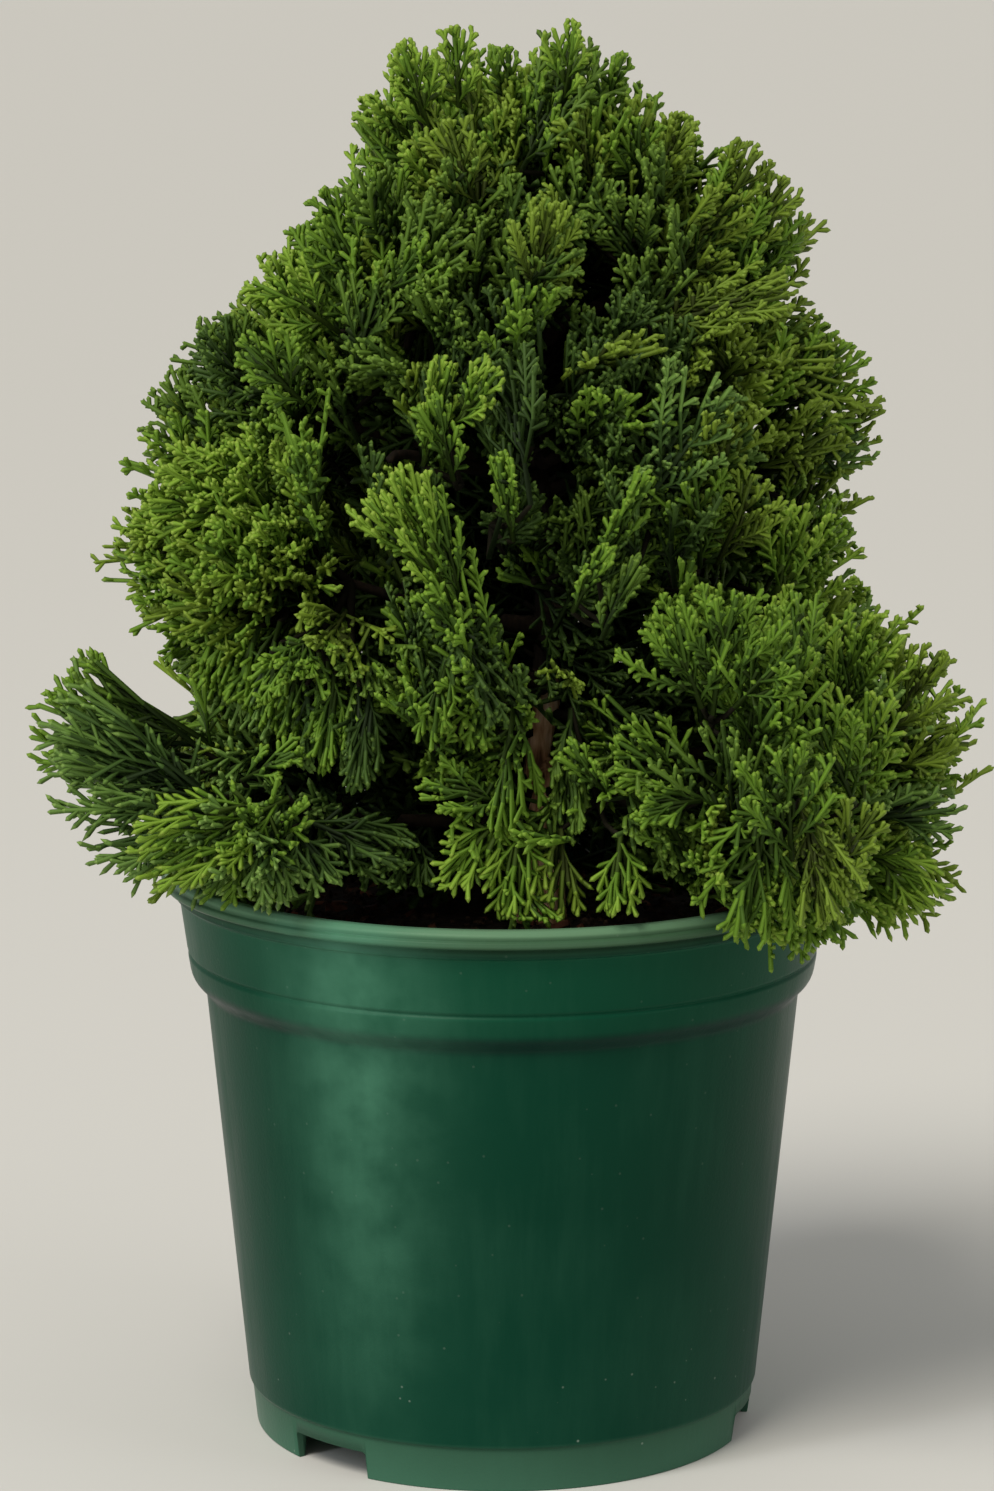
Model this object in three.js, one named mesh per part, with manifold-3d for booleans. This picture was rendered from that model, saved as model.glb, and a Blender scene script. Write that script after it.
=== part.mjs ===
// A dwarf hinoki cypress in its moulded nursery pot: trunk, boughs, foliage masses, soil and pot.
// Millimetres, +Z up. The origin is the centre of the pot's flat underside. -Y is the front, +X the right.
import * as THREE from "three";
import { mergeVertices } from "three/addons/utils/BufferGeometryUtils.js";
import Module from "manifold-3d";

const wasm = await Module();
wasm.setup();

// ---------- driving dimensions ----------
const gap = 0.35; // clearance kept between neighbouring solids

const pot = {
  height: 178,
  wall: 2.2,
  floorThickness: 3.2,
  rimRadius: 105.5, // outside of the rolled lip
  lip: { start: 8.4, flare: 6.4, edge: 1.2, bevel: 0.4, roll: 2.4 }, // heights below the rim, then rounding
  collarRadius: 100, // wall just under the lip
  grooveHeight: 151,
  grooveRadius: 97.6,
  collarFoot: 146, // where the collar turns in to the body
  collarFootRadius: 96.6,
  stepHeight: 139,
  stepRadius: 92,
  skirtHeight: 14, // the skirt hangs below the floor
  skirtRadius: 79.6,
  footRadius: 77.6,
  footBevel: 1.5,
  channelRadius: 52, // inside this the underside is flat on the ground
  channelSlope: { under: 3, inside: 4 }, // how far the ring channel's inner side leans out
  notchCount: 3,
  notchAzimuth: -42.7, // from the front, towards the right
  notchWidth: 29,
  notchHeight: 8.6,
  notchDepth: 24,
  segments: 40,
};
// How far the space kept free for the pot reaches past each corner of its outline.
const potMargin = { under: 5, foot: 2, step: 2, collarFoot: 1, lip: 1.6, flare: 1 };
// Depth below the rim, fall towards the wall, the share of the top that is level, and how far it has shrunk
// from the wall.
const soil = { depth: 20, fall: 2.5, levelShare: 0.6, shrunk: 1.5, shrunkAtStep: 0.5, segments: 32 };

const trunk = {
  foot: [11, 1],
  flareRadius: 9.5,
  baseRadius: 5.4,
  tipRadius: 1.3,
  tip: [6, 4, 408],
  lean: [5, -2], // how far the middle stands off the straight line
  flareFade: 22, // the larger, the sooner the flare ends
  buried: 4, // its line starts this far below the flat cut
  sides: 10,
  steps: 10,
};

const bough = {
  baseRadius: 2.6,
  tipRadius: 1.4,
  sag: 6,
  sagAt: 0.45, // share of the way along
  leastThickness: 0.75, // of the base radius, for the shortest bough
  reachForFull: 300, // the base grows with the reach, by its whole radius over this length
  leastVolume: 20,
  sides: 5,
  steps: 3,
};

// Each mass: centre, half sizes along X, Y and Z, a lean in degrees in the XZ plane (+ leans to the right)
// and a droop, by which its outer edge hangs. perch is the height at which its bough leaves the trunk;
// a mass without one grows on from its neighbour's bough.
const masses = {
  crown_left: { at: [-16, -2, 402], half: [29, 28, 34], perch: 372 },
  crown_right: { at: [22, -6, 402], half: [25, 26, 36], perch: 366 },
  crown_back: { at: [6, 36, 386], half: [35, 31, 38], perch: 360 },
  slope_left: { at: [-46, -16, 356], half: [29, 31, 39], lean: 38, perch: 338 },
  slope_front: { at: [-2, -48, 358], half: [32, 26, 30] },
  slope_right: { at: [62, -8, 372], half: [30, 32, 38], lean: 4, perch: 340 },
  slope_back_left: { at: [-38, 50, 336], half: [37, 38, 40], perch: 322 },
  slope_back_right: { at: [46, 52, 342], half: [36, 38, 42], perch: 318 },
  shoulder_left: { at: [-80, -2, 324], half: [29, 33, 29], lean: 10, perch: 300 },
  shoulder_left_front: { at: [-46, -56, 318], half: [32, 27, 26], perch: 296 },
  spray_upper: { at: [-6, -62, 318], half: [25, 25, 25] },
  shoulder_right_front: { at: [46, -54, 326], half: [33, 28, 29], perch: 302 },
  shoulder_right: { at: [89, -6, 320], half: [31, 34, 34], perch: 294 },
  shell_left: { at: [-80, -34, 276], half: [38, 40, 45], lean: 4, perch: 250 },
  heart: { at: [6, -54, 284], half: [31, 27, 29] },
  spray_centre: { at: [-21, -74, 262], half: [25, 26, 41], lean: -16, perch: 232 },
  spray_right: { at: [34, -72, 272], half: [23, 24, 31], lean: 12 },
  middle_right: { at: [72, -38, 284], half: [31, 31, 28], perch: 256 },
  flank_right: { at: [76, 42, 280], half: [33, 40, 38], perch: 252 },
  back_left: { at: [-62, 60, 272], half: [45, 44, 43], perch: 244 },
  back_right: { at: [16, 84, 282], half: [45, 37, 46], perch: 240 },
  fan_right: { at: [62, -82, 252], half: [30, 25, 28] },
  low_right: { at: [107, -22, 225], half: [35, 38, 45], droop: 6, perch: 206 },
  low_right_tip: { at: [115, -44, 183], half: [23, 25, 18], lean: 14 },
  low_right_front: { at: [80, -82, 199], half: [33, 29, 33], droop: 4 },
  low_front_right: { at: [38, -74, 202], half: [27, 26, 29] },
  low_front_left: { at: [-10, -68, 202], half: [29, 29, 29] },
  low_left: { at: [-76, -52, 206], half: [46, 37, 31], droop: 10, perch: 192 },
  low_left_tip: { at: [-117, -16, 223], half: [31, 27, 24], lean: -30 },
  low_back_left: { at: [-78, 56, 212], half: [42, 40, 31], droop: 6, perch: 200 },
  low_back: { at: [-2, 98, 218], half: [46, 34, 37], droop: 6, perch: 204 },
  low_back_right: { at: [84, 62, 220], half: [40, 40, 37], droop: 6, perch: 210 },
  inner_left: { at: [-34, -18, 236], half: [31, 30, 28] },
  inner_right: { at: [48, -20, 238], half: [29, 32, 27] },
};
const massDetail = 3;
// The lobes' sizes vary round a middle size by a spread; each mass's seed turns them and shifts their sizes.
const lobe = {
  count: 9,
  sharpness: 7,
  height: 0.2,
  size: 0.75,
  spread: 0.25,
  turn: 1.7,
  shift: 3.1,
  stride: 2.3,
};

// ---------- solids ----------
function toSolid(geometry) {
  const bare = geometry.clone();
  bare.deleteAttribute("normal");
  bare.deleteAttribute("uv");
  const merged = mergeVertices(bare, 1e-3);
  return new wasm.Manifold(
    new wasm.Mesh({
      numProp: 3,
      vertProperties: merged.attributes.position.array,
      triVerts: new Uint32Array(merged.index.array),
    }),
  );
}

function toGeometry(solid) {
  const mesh = solid.getMesh();
  const geometry = new THREE.BufferGeometry();
  geometry.setAttribute("position", new THREE.BufferAttribute(mesh.vertProperties, 3));
  geometry.setIndex(new THREE.BufferAttribute(mesh.triVerts, 1));
  geometry.computeVertexNormals();
  return geometry;
}

// Of the pieces that a cut leaves, the one that pick gives the highest score.
function bestPiece(solid, score) {
  const pieces = solid.decompose();
  return pieces.reduce((best, piece) => (score(piece) > score(best) ? piece : best));
}

function turned(profile, segments) {
  const points = profile.map(([radius, height]) => new THREE.Vector2(radius, height));
  return new THREE.LatheGeometry(points, segments).rotateX(Math.PI / 2);
}

// ---------- pot and soil ----------
function potProfile(p) {
  const inner = p.wall;
  const channelTop = p.skirtHeight - p.wall;
  const floorTop = p.skirtHeight + p.wall;
  return [
    [0, 0],
    [p.channelRadius, 0],
    [p.channelRadius + p.channelSlope.under, channelTop],
    [p.footRadius - inner - p.footBevel, channelTop],
    [p.footRadius - inner, 0],
    [p.footRadius, 0],
    [p.skirtRadius, p.skirtHeight],
    [p.stepRadius, p.stepHeight],
    [p.collarFootRadius, p.collarFoot],
    [p.grooveRadius, p.grooveHeight],
    [p.collarRadius, p.height - p.lip.start],
    [p.rimRadius, p.height - p.lip.flare],
    [p.rimRadius - p.lip.bevel, p.height - p.lip.edge],
    [p.rimRadius - p.lip.roll, p.height],
    [p.collarRadius - inner, p.height],
    [p.grooveRadius - inner, p.grooveHeight],
    [p.stepRadius - inner, p.stepHeight],
    [p.skirtRadius - inner - 1, floorTop],
    [p.channelRadius + 1 + p.channelSlope.inside, floorTop],
    [p.channelRadius + 1, p.floorThickness],
    [0, p.floorThickness],
  ];
}

function makePot(p) {
  let solid = toSolid(turned(potProfile(p), p.segments));
  for (let i = 0; i < p.notchCount; i += 1) {
    const azimuth = THREE.MathUtils.degToRad(p.notchAzimuth + (360 / p.notchCount) * i);
    const notch = new THREE.BoxGeometry(p.notchWidth, p.notchDepth, 2 * p.notchHeight);
    notch.translate(0, -p.footRadius, 0);
    notch.rotateZ(azimuth);
    solid = solid.subtract(toSolid(notch));
  }
  return solid;
}

// The space that the pot and its soil fill, grown by the gap, which nothing on the plant may enter.
function makePotSpace(p, margin) {
  const soilTop = p.height - soil.depth + gap;
  return toSolid(
    turned(
      [
        [0, -margin.under],
        [p.footRadius + margin.foot, -margin.under],
        [p.stepRadius + gap, p.stepHeight - margin.step],
        [p.collarFootRadius + 2 * gap, p.collarFoot - margin.collarFoot],
        [p.collarRadius + 2 * gap, p.height - p.lip.start - margin.lip],
        [p.rimRadius + gap, p.height - p.lip.flare - margin.flare],
        [p.rimRadius + gap, p.height + gap],
        [p.collarRadius - p.wall - gap, p.height + gap],
        [p.grooveRadius - p.wall - gap, soilTop],
        [0, soilTop],
      ],
      p.segments,
    ),
  );
}

function makeSoil(p) {
  const top = p.height - soil.depth;
  const clear = p.wall + 2 * gap;
  const floor = p.skirtHeight + p.wall + gap;
  const profile = [
    [0, p.floorThickness + gap],
    [p.channelRadius - 1, p.floorThickness + gap],
    [p.channelRadius + p.channelSlope.inside, floor],
    [p.skirtRadius - clear - soil.shrunk, floor],
    [p.stepRadius - clear - soil.shrunkAtStep, p.stepHeight],
    [p.grooveRadius - clear - soil.shrunk, top - soil.fall],
    [soil.levelShare * p.grooveRadius, top],
    [0, top],
  ];
  return toSolid(turned(profile, soil.segments));
}

// ---------- limbs ----------
// A round bar bent along a curve; radiusAt(t) gives its radius.
function limb(curve, radiusAt, sides, steps) {
  const bar = new THREE.CylinderGeometry(1, 1, 1, sides, steps);
  const place = bar.attributes.position;
  const frames = curve.computeFrenetFrames(steps, false);
  const vertex = new THREE.Vector3();
  for (let i = 0; i < place.count; i += 1) {
    vertex.fromBufferAttribute(place, i);
    const step = Math.round((vertex.y + 0.5) * steps);
    const share = step / steps;
    const radius = radiusAt(share);
    const point = curve.getPointAt(share);
    point.addScaledVector(frames.normals[step], vertex.x * radius);
    point.addScaledVector(frames.binormals[step], -vertex.z * radius);
    place.setXYZ(i, point.x, point.y, point.z);
  }
  return toSolid(bar);
}

const trunkFoot = pot.height - soil.depth + gap; // the flat cut, level with the soil

function trunkCurve(t) {
  const foot = new THREE.Vector3(...t.foot, trunkFoot - t.buried);
  const tip = new THREE.Vector3(...t.tip);
  const middle = foot.clone().lerp(tip, 0.5).add(new THREE.Vector3(...t.lean, 0));
  return new THREE.CatmullRomCurve3([foot, middle, tip]);
}

function trunkRadius(t, share) {
  const flare = (t.flareRadius - t.baseRadius) * Math.exp(-share * t.flareFade);
  return flare + THREE.MathUtils.lerp(t.baseRadius, t.tipRadius, share);
}

function makeTrunk(t, extra) {
  const body = limb(trunkCurve(t), (share) => trunkRadius(t, share) + extra, t.sides, t.steps);
  const size = 6 * t.flareRadius + 10 * extra;
  const flatCut = new THREE.BoxGeometry(size, size, size);
  flatCut.translate(t.foot[0], t.foot[1], trunkFoot - extra - size / 2);
  return body.subtract(toSolid(flatCut));
}

// The trunk's centre at a height, found along its curve.
function trunkAt(t, height) {
  const curve = trunkCurve(t);
  const halvings = 24;
  let low = 0;
  let high = 1;
  for (let i = 0; i < halvings; i += 1) {
    const middle = (low + high) / 2;
    if (curve.getPointAt(middle).z < height) low = middle;
    else high = middle;
  }
  return curve.getPointAt(low);
}

function makeBough(mass) {
  const start = trunkAt(trunk, mass.perch);
  const end = new THREE.Vector3(...mass.at);
  const bend = start.clone().lerp(end, bough.sagAt);
  bend.z -= bough.sag;
  const reach = start.distanceTo(end);
  const thick = bough.baseRadius * (bough.leastThickness + reach / bough.reachForFull);
  const curve = new THREE.QuadraticBezierCurve3(start, bend, end);
  const radiusAt = (share) => THREE.MathUtils.lerp(thick, bough.tipRadius, share);
  return limb(curve, radiusAt, bough.sides, bough.steps);
}

// ---------- foliage masses ----------
// Directions of the lobes, spread evenly over the sphere and turned by the seed.
function lobeDirections(seed) {
  const golden = Math.PI * (3 - Math.sqrt(5));
  const directions = [];
  for (let i = 0; i < lobe.count; i += 1) {
    const height = 1 - (2 * (i + 0.5)) / lobe.count;
    const ring = Math.sqrt(1 - height * height);
    const angle = golden * i + seed * lobe.turn;
    directions.push(new THREE.Vector3(ring * Math.cos(angle), ring * Math.sin(angle), height));
  }
  return directions;
}

// How far the surface stands out in a direction: rounded lobes with dips between them.
function unevenness(direction, directions, seed) {
  let most = 0;
  directions.forEach((centre, i) => {
    const near = Math.max(0, direction.dot(centre));
    const size = lobe.size + lobe.spread * Math.sin(seed * lobe.shift + i * lobe.stride);
    most = Math.max(most, size * near ** lobe.sharpness);
  });
  return 1 + lobe.height * (most - lobe.size);
}

function makeMass(mass, seed, extra) {
  const ball = new THREE.OctahedronGeometry(1, massDetail);
  const place = ball.attributes.position;
  const directions = lobeDirections(seed);
  const half = new THREE.Vector3(...mass.half).addScalar(extra);
  const direction = new THREE.Vector3();
  for (let i = 0; i < place.count; i += 1) {
    direction.fromBufferAttribute(place, i).normalize();
    const stand = unevenness(direction, directions, seed);
    place.setXYZ(
      i,
      direction.x * half.x * stand,
      direction.y * half.y * stand,
      direction.z * half.z * stand,
    );
  }
  ball.rotateY(THREE.MathUtils.degToRad(mass.lean || 0));
  const outward = new THREE.Vector3(mass.at[0], mass.at[1], 0).normalize();
  for (let i = 0; i < place.count; i += 1) {
    direction.fromBufferAttribute(place, i);
    const share = Math.max(0, direction.dot(outward)) / mass.half[0];
    place.setZ(i, direction.z - (mass.droop || 0) * share ** 2);
  }
  ball.translate(...mass.at);
  return toSolid(ball);
}

// ---------- the whole plant ----------
const trunkSpace = makeTrunk(trunk, gap);
const potSpace = makePotSpace(pot, potMargin);
const names = Object.keys(masses);

const massSolids = new Map();
let taken = trunkSpace.add(potSpace);
names.forEach((name, i) => {
  const whole = makeMass(masses[name], i + 1, 0);
  const left = bestPiece(whole.subtract(taken), (piece) => piece.volume());
  massSolids.set(name, left);
  taken = taken.add(makeMass(masses[name], i + 1, gap));
});

const boughSolids = new Map();
let boughsTaken = trunkSpace.add(potSpace);
names.forEach((name) => {
  const mass = masses[name];
  if (!mass.perch) return;
  const start = trunkAt(trunk, mass.perch);
  const nearTrunk = (piece) => {
    const box = piece.boundingBox();
    const near = box.min.map((low, k) =>
      THREE.MathUtils.clamp([start.x, start.y, start.z][k], low, box.max[k]),
    );
    return -start.distanceTo(new THREE.Vector3(...near));
  };
  const cut = makeBough(mass).subtract(taken).subtract(boughsTaken);
  if (cut.isEmpty()) return;
  const piece = bestPiece(cut, nearTrunk);
  if (piece.volume() < bough.leastVolume) return;
  boughSolids.set(name, piece);
  boughsTaken = boughsTaken.add(makeBough(mass));
});

const finishes = {
  pot: new THREE.MeshStandardMaterial({ color: 0x1f5a3c, roughness: 0.42, metalness: 0 }),
  soil: new THREE.MeshStandardMaterial({ color: 0x2b1d15, roughness: 0.95, metalness: 0 }),
  bark: new THREE.MeshStandardMaterial({ color: 0x6b4a35, roughness: 0.85, metalness: 0 }),
  foliage: new THREE.MeshStandardMaterial({ color: 0x4f7a26, roughness: 0.6, metalness: 0 }),
};

const plant = new THREE.Group();
function addNode(name, solid, finish) {
  const mesh = new THREE.Mesh(toGeometry(solid), finish);
  mesh.name = name;
  plant.add(mesh);
}

addNode("pot", makePot(pot), finishes.pot);
addNode("soil", makeSoil(pot), finishes.soil);
addNode("trunk", makeTrunk(trunk, 0), finishes.bark);
boughSolids.forEach((solid, name) => addNode(`bough_${name}`, solid, finishes.bark));
massSolids.forEach((solid, name) => addNode(`mass_${name}`, solid, finishes.foliage));

export default plant;
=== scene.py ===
import math

import bpy
import numpy as np
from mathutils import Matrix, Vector
from mathutils.bvhtree import BVHTree


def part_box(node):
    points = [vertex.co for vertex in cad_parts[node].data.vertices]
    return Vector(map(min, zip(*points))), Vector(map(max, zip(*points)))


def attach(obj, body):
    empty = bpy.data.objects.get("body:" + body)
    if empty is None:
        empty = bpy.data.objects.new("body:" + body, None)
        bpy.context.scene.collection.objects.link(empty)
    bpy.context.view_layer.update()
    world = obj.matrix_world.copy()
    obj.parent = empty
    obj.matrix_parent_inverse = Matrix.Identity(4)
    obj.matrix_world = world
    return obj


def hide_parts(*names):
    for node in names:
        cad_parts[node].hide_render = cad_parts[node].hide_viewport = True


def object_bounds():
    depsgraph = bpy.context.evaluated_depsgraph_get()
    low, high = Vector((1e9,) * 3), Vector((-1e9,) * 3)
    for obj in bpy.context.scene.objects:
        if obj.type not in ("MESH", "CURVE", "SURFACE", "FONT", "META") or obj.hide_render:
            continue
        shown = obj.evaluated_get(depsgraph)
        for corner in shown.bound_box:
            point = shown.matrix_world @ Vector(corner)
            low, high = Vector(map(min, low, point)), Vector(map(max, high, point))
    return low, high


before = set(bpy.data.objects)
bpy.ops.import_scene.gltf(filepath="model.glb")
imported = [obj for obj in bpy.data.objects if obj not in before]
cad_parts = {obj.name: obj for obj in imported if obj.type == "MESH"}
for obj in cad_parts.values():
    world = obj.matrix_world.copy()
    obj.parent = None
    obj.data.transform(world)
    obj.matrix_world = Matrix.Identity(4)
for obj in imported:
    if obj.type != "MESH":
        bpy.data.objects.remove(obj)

cadLow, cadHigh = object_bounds()
mm = 0.001


# helpers
def toLinear(hexColour):
    channels = [int(hexColour[i:i + 2], 16) / 255 for i in (1, 3, 5)]
    return tuple(c / 12.92 if c <= 0.04045 else ((c + 0.055) / 1.055) ** 2.4 for c in channels) + (1,)


def addNode(tree, kind, inputs=None, **settings):
    node = tree.nodes.new(kind)
    for name, value in settings.items():
        setattr(node, name, value)
    for socket, value in (inputs or {}).items():
        if isinstance(value, bpy.types.NodeSocket):
            tree.links.new(value, node.inputs[socket])
        else:
            node.inputs[socket].default_value = value
    return node


def setRamp(ramp, stops):
    # stops are pairs of a place from 0 to 1 and a hex colour
    elements = ramp.color_ramp.elements
    while len(elements) < len(stops):
        elements.new(0.5)
    for element, (place, colour) in zip(elements, stops):
        element.position = place
        element.color = toLinear(colour)
    return ramp.outputs["Color"]


def newMaterial(name, **values):
    material = bpy.data.materials.new(name)
    material.use_nodes = True
    tree = material.node_tree
    shader = tree.nodes["Principled BSDF"]
    for socket, value in values.items():
        shader.inputs[socket.replace("_", " ")].default_value = value
    return material, tree, shader


def meshFromArrays(name, points, triangles, materials, slots=None):
    mesh = bpy.data.meshes.new(name)
    mesh.vertices.add(len(points))
    mesh.vertices.foreach_set("co", np.asarray(points, np.float32).ravel())
    mesh.loops.add(len(triangles) * 3)
    mesh.loops.foreach_set("vertex_index", np.asarray(triangles, np.int32).ravel())
    mesh.polygons.add(len(triangles))
    mesh.polygons.foreach_set("loop_start", np.arange(0, len(triangles) * 3, 3, dtype=np.int32))
    for material in materials:
        mesh.materials.append(material)
    if slots is not None:
        mesh.polygons.foreach_set("material_index", np.asarray(slots, np.int32))
    mesh.update(calc_edges=True)
    mesh.polygons.foreach_set("use_smooth", np.ones(len(triangles), bool))
    piece = bpy.data.objects.new(name, mesh)
    bpy.context.scene.collection.objects.link(piece)
    return piece


def unit(v):
    v = np.asarray(v, float)
    return v / max(np.linalg.norm(v), 1e-12)


def nodePoints(name):
    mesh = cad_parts[name].data
    points = np.empty(len(mesh.vertices) * 3)
    mesh.vertices.foreach_get("co", points)
    return points.reshape(-1, 3)


class Sweep:  # tapering tubes along paths, gathered into one mesh
    def __init__(self):
        self.points, self.triangles, self.count = [], [], 0

    def tube(self, path, radii, sides, relief=None):
        path = np.asarray(path, float)
        radii = np.asarray(radii, float)
        ways = np.gradient(path, axis=0)
        ways /= np.maximum(np.linalg.norm(ways, axis=1), 1e-12)[:, None]
        side = np.cross(ways[0], [0.3, 0.2, 1.0] if abs(ways[0][2]) < 0.8 else [1.0, 0.2, 0.1])
        turns = np.arange(sides) / sides * 2 * math.pi
        rings = []
        for i, way in enumerate(ways):
            side = unit(side - way * np.dot(side, way))
            other = np.cross(way, side)
            reach = radii[i] if relief is None else radii[i] * relief[i]
            ring = np.cos(turns)[:, None] * side + np.sin(turns)[:, None] * other
            rings.append(path[i] + ring * np.reshape(reach, (-1, 1)))
        startPoint = path[:1] - ways[0] * radii[0] * 0.3  # each end is closed with a low cone
        endPoint = path[-1:] + ways[-1] * radii[-1] * 0.7
        points = np.vstack(rings + [startPoint, endPoint])
        a = np.arange(sides)
        b = (a + 1) % sides
        faces = []
        for i in range(len(path) - 1):
            low, high = i * sides, (i + 1) * sides
            faces.append(np.stack([low + a, low + b, high + b], 1))
            faces.append(np.stack([low + a, high + b, high + a], 1))
        last = (len(path) - 1) * sides
        foot, tip = len(path) * sides, len(path) * sides + 1
        faces.append(np.stack([b, a, np.full(sides, foot)], 1))
        faces.append(np.stack([last + a, last + b, np.full(sides, tip)], 1))
        self.points.append(points)
        self.triangles.append(np.vstack(faces) + self.count)
        self.count += len(points)

    def arrays(self):
        return np.vstack(self.points), np.vstack(self.triangles)


# camera, floor and light
view = {
    "place": (-0.0017, -1.4, 0.4675),  # metres
    "pitch": 10.28,  # degrees down
    "focalPixels": 4615,
    "longSidePixels": 1491,
    "sensor": 36,  # mm
}
camera = bpy.data.objects.new("camera", bpy.data.cameras.new("camera"))
bpy.context.scene.collection.objects.link(camera)
camera.location = view["place"]
camera.rotation_euler = (math.radians(90 - view["pitch"]), 0, 0)
camera.data.sensor_width = view["sensor"]
camera.data.lens = view["sensor"] * view["focalPixels"] / view["longSidePixels"]
camera.data.clip_start = 0.01
bpy.context.scene.camera = camera

floorHalf = 60  # metres
floorPoints = [(x * floorHalf, y * floorHalf, 0) for x, y in ((-1, -1), (1, -1), (1, 1), (-1, 1))]
# Emulsion on board: warm light grey without a sheen.
floorPaint = newMaterial("matt_painted_board", Base_Color=toLinear("#C9C8C4"), Roughness=0.75)[0]
floor = meshFromArrays("floor", floorPoints, [[0, 1, 2], [0, 2, 3]], [floorPaint])

studio = {"colour": "#EFEFEC", "strength": 0.5}
world = bpy.data.worlds.new("studio")
bpy.context.scene.world = world
world.use_nodes = True
background = world.node_tree.nodes["Background"]
background.inputs["Color"].default_value = toLinear(studio["colour"])
background.inputs["Strength"].default_value = studio["strength"]

# the key shines from the upper left, in front; softness is how wide it looks, in degrees
key = {"way": (0.55, 0.75, -1.35), "strength": 2.3, "softness": 28, "colour": "#FFF9EE"}
keyLight = bpy.data.objects.new("big_soft_key", bpy.data.lights.new("big_soft_key", "SUN"))
bpy.context.scene.collection.objects.link(keyLight)
keyLight.rotation_euler = Vector(key["way"]).to_track_quat("-Z", "Y").to_euler()
keyLight.data.energy = key["strength"]
keyLight.data.angle = math.radians(key["softness"])
keyLight.data.color = toLinear(key["colour"])[:3]

lampTarget = Vector((0, 0, 0.15))
lamps = [  # name, place in metres, size in metres, power in watts, colour
    ("window_left", (-1.5, -1.1, 0.75), (0.26, 1.4), 12, "#F4F8FF"),
    ("fill_right", (1.5, -0.8, 0.8), (0.7, 1.2), 4, "#FFFFFF"),
]
for name, place, size, power, colour in lamps:
    lamp = bpy.data.objects.new(name, bpy.data.lights.new(name, "AREA"))
    bpy.context.scene.collection.objects.link(lamp)
    lamp.location = place
    lamp.rotation_euler = (lampTarget - Vector(place)).to_track_quat("-Z", "Y").to_euler()
    lamp.data.shape = "RECTANGLE"
    lamp.data.size, lamp.data.size_y = size
    lamp.data.energy = power
    lamp.data.color = toLinear(colour)[:3]
bpy.context.scene.view_settings.view_transform = "Standard"
print("stage set")

# pot
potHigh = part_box("pot")[1]
pot = {  # mm
    "height": potHigh.z / mm,
    "rim": potHigh.x / mm,  # radius over the lip
    "wall": 2.0,
    "collar": 100.0,  # radii and heights of the wall's bends
    "groove": (97.6, 151.0),
    "collarFoot": (96.4, 143.5),
    "step": (92.0, 139.0),
    "skirt": (79.8, 14.0),
    "foot": 77.4,
    "channel": 52.0,
    "notchAngles": (-42.7, 77.3, 197.3),  # degrees from the front, towards the right
    "notchHalf": 10.9,  # degrees
    "notchCorner": 0.9,  # degrees over which its top is rounded
    "notchSlack": 0.06,  # degrees, so that a column on its edge counts as outside
    "notchHeight": 8.6,
    "columns": 150,
}


def rounded(corners, steps=4):
    # corners are radius, height and how far from the corner its bend starts
    outline = []
    for i, (r, z, bend) in enumerate(corners):
        here = np.array([r, z], float)
        if i in (0, len(corners) - 1):
            outline.append(here)
            continue
        before = np.array(corners[i - 1][:2], float) - here
        after = np.array(corners[i + 1][:2], float) - here
        reach = min(bend, 0.48 * np.linalg.norm(before), 0.48 * np.linalg.norm(after))
        start, end = here + unit(before) * reach, here + unit(after) * reach
        for t in np.linspace(0, 1, steps + 1):
            outline.append((1 - t) ** 2 * start + 2 * t * (1 - t) * here + t ** 2 * end)
    return outline


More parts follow.
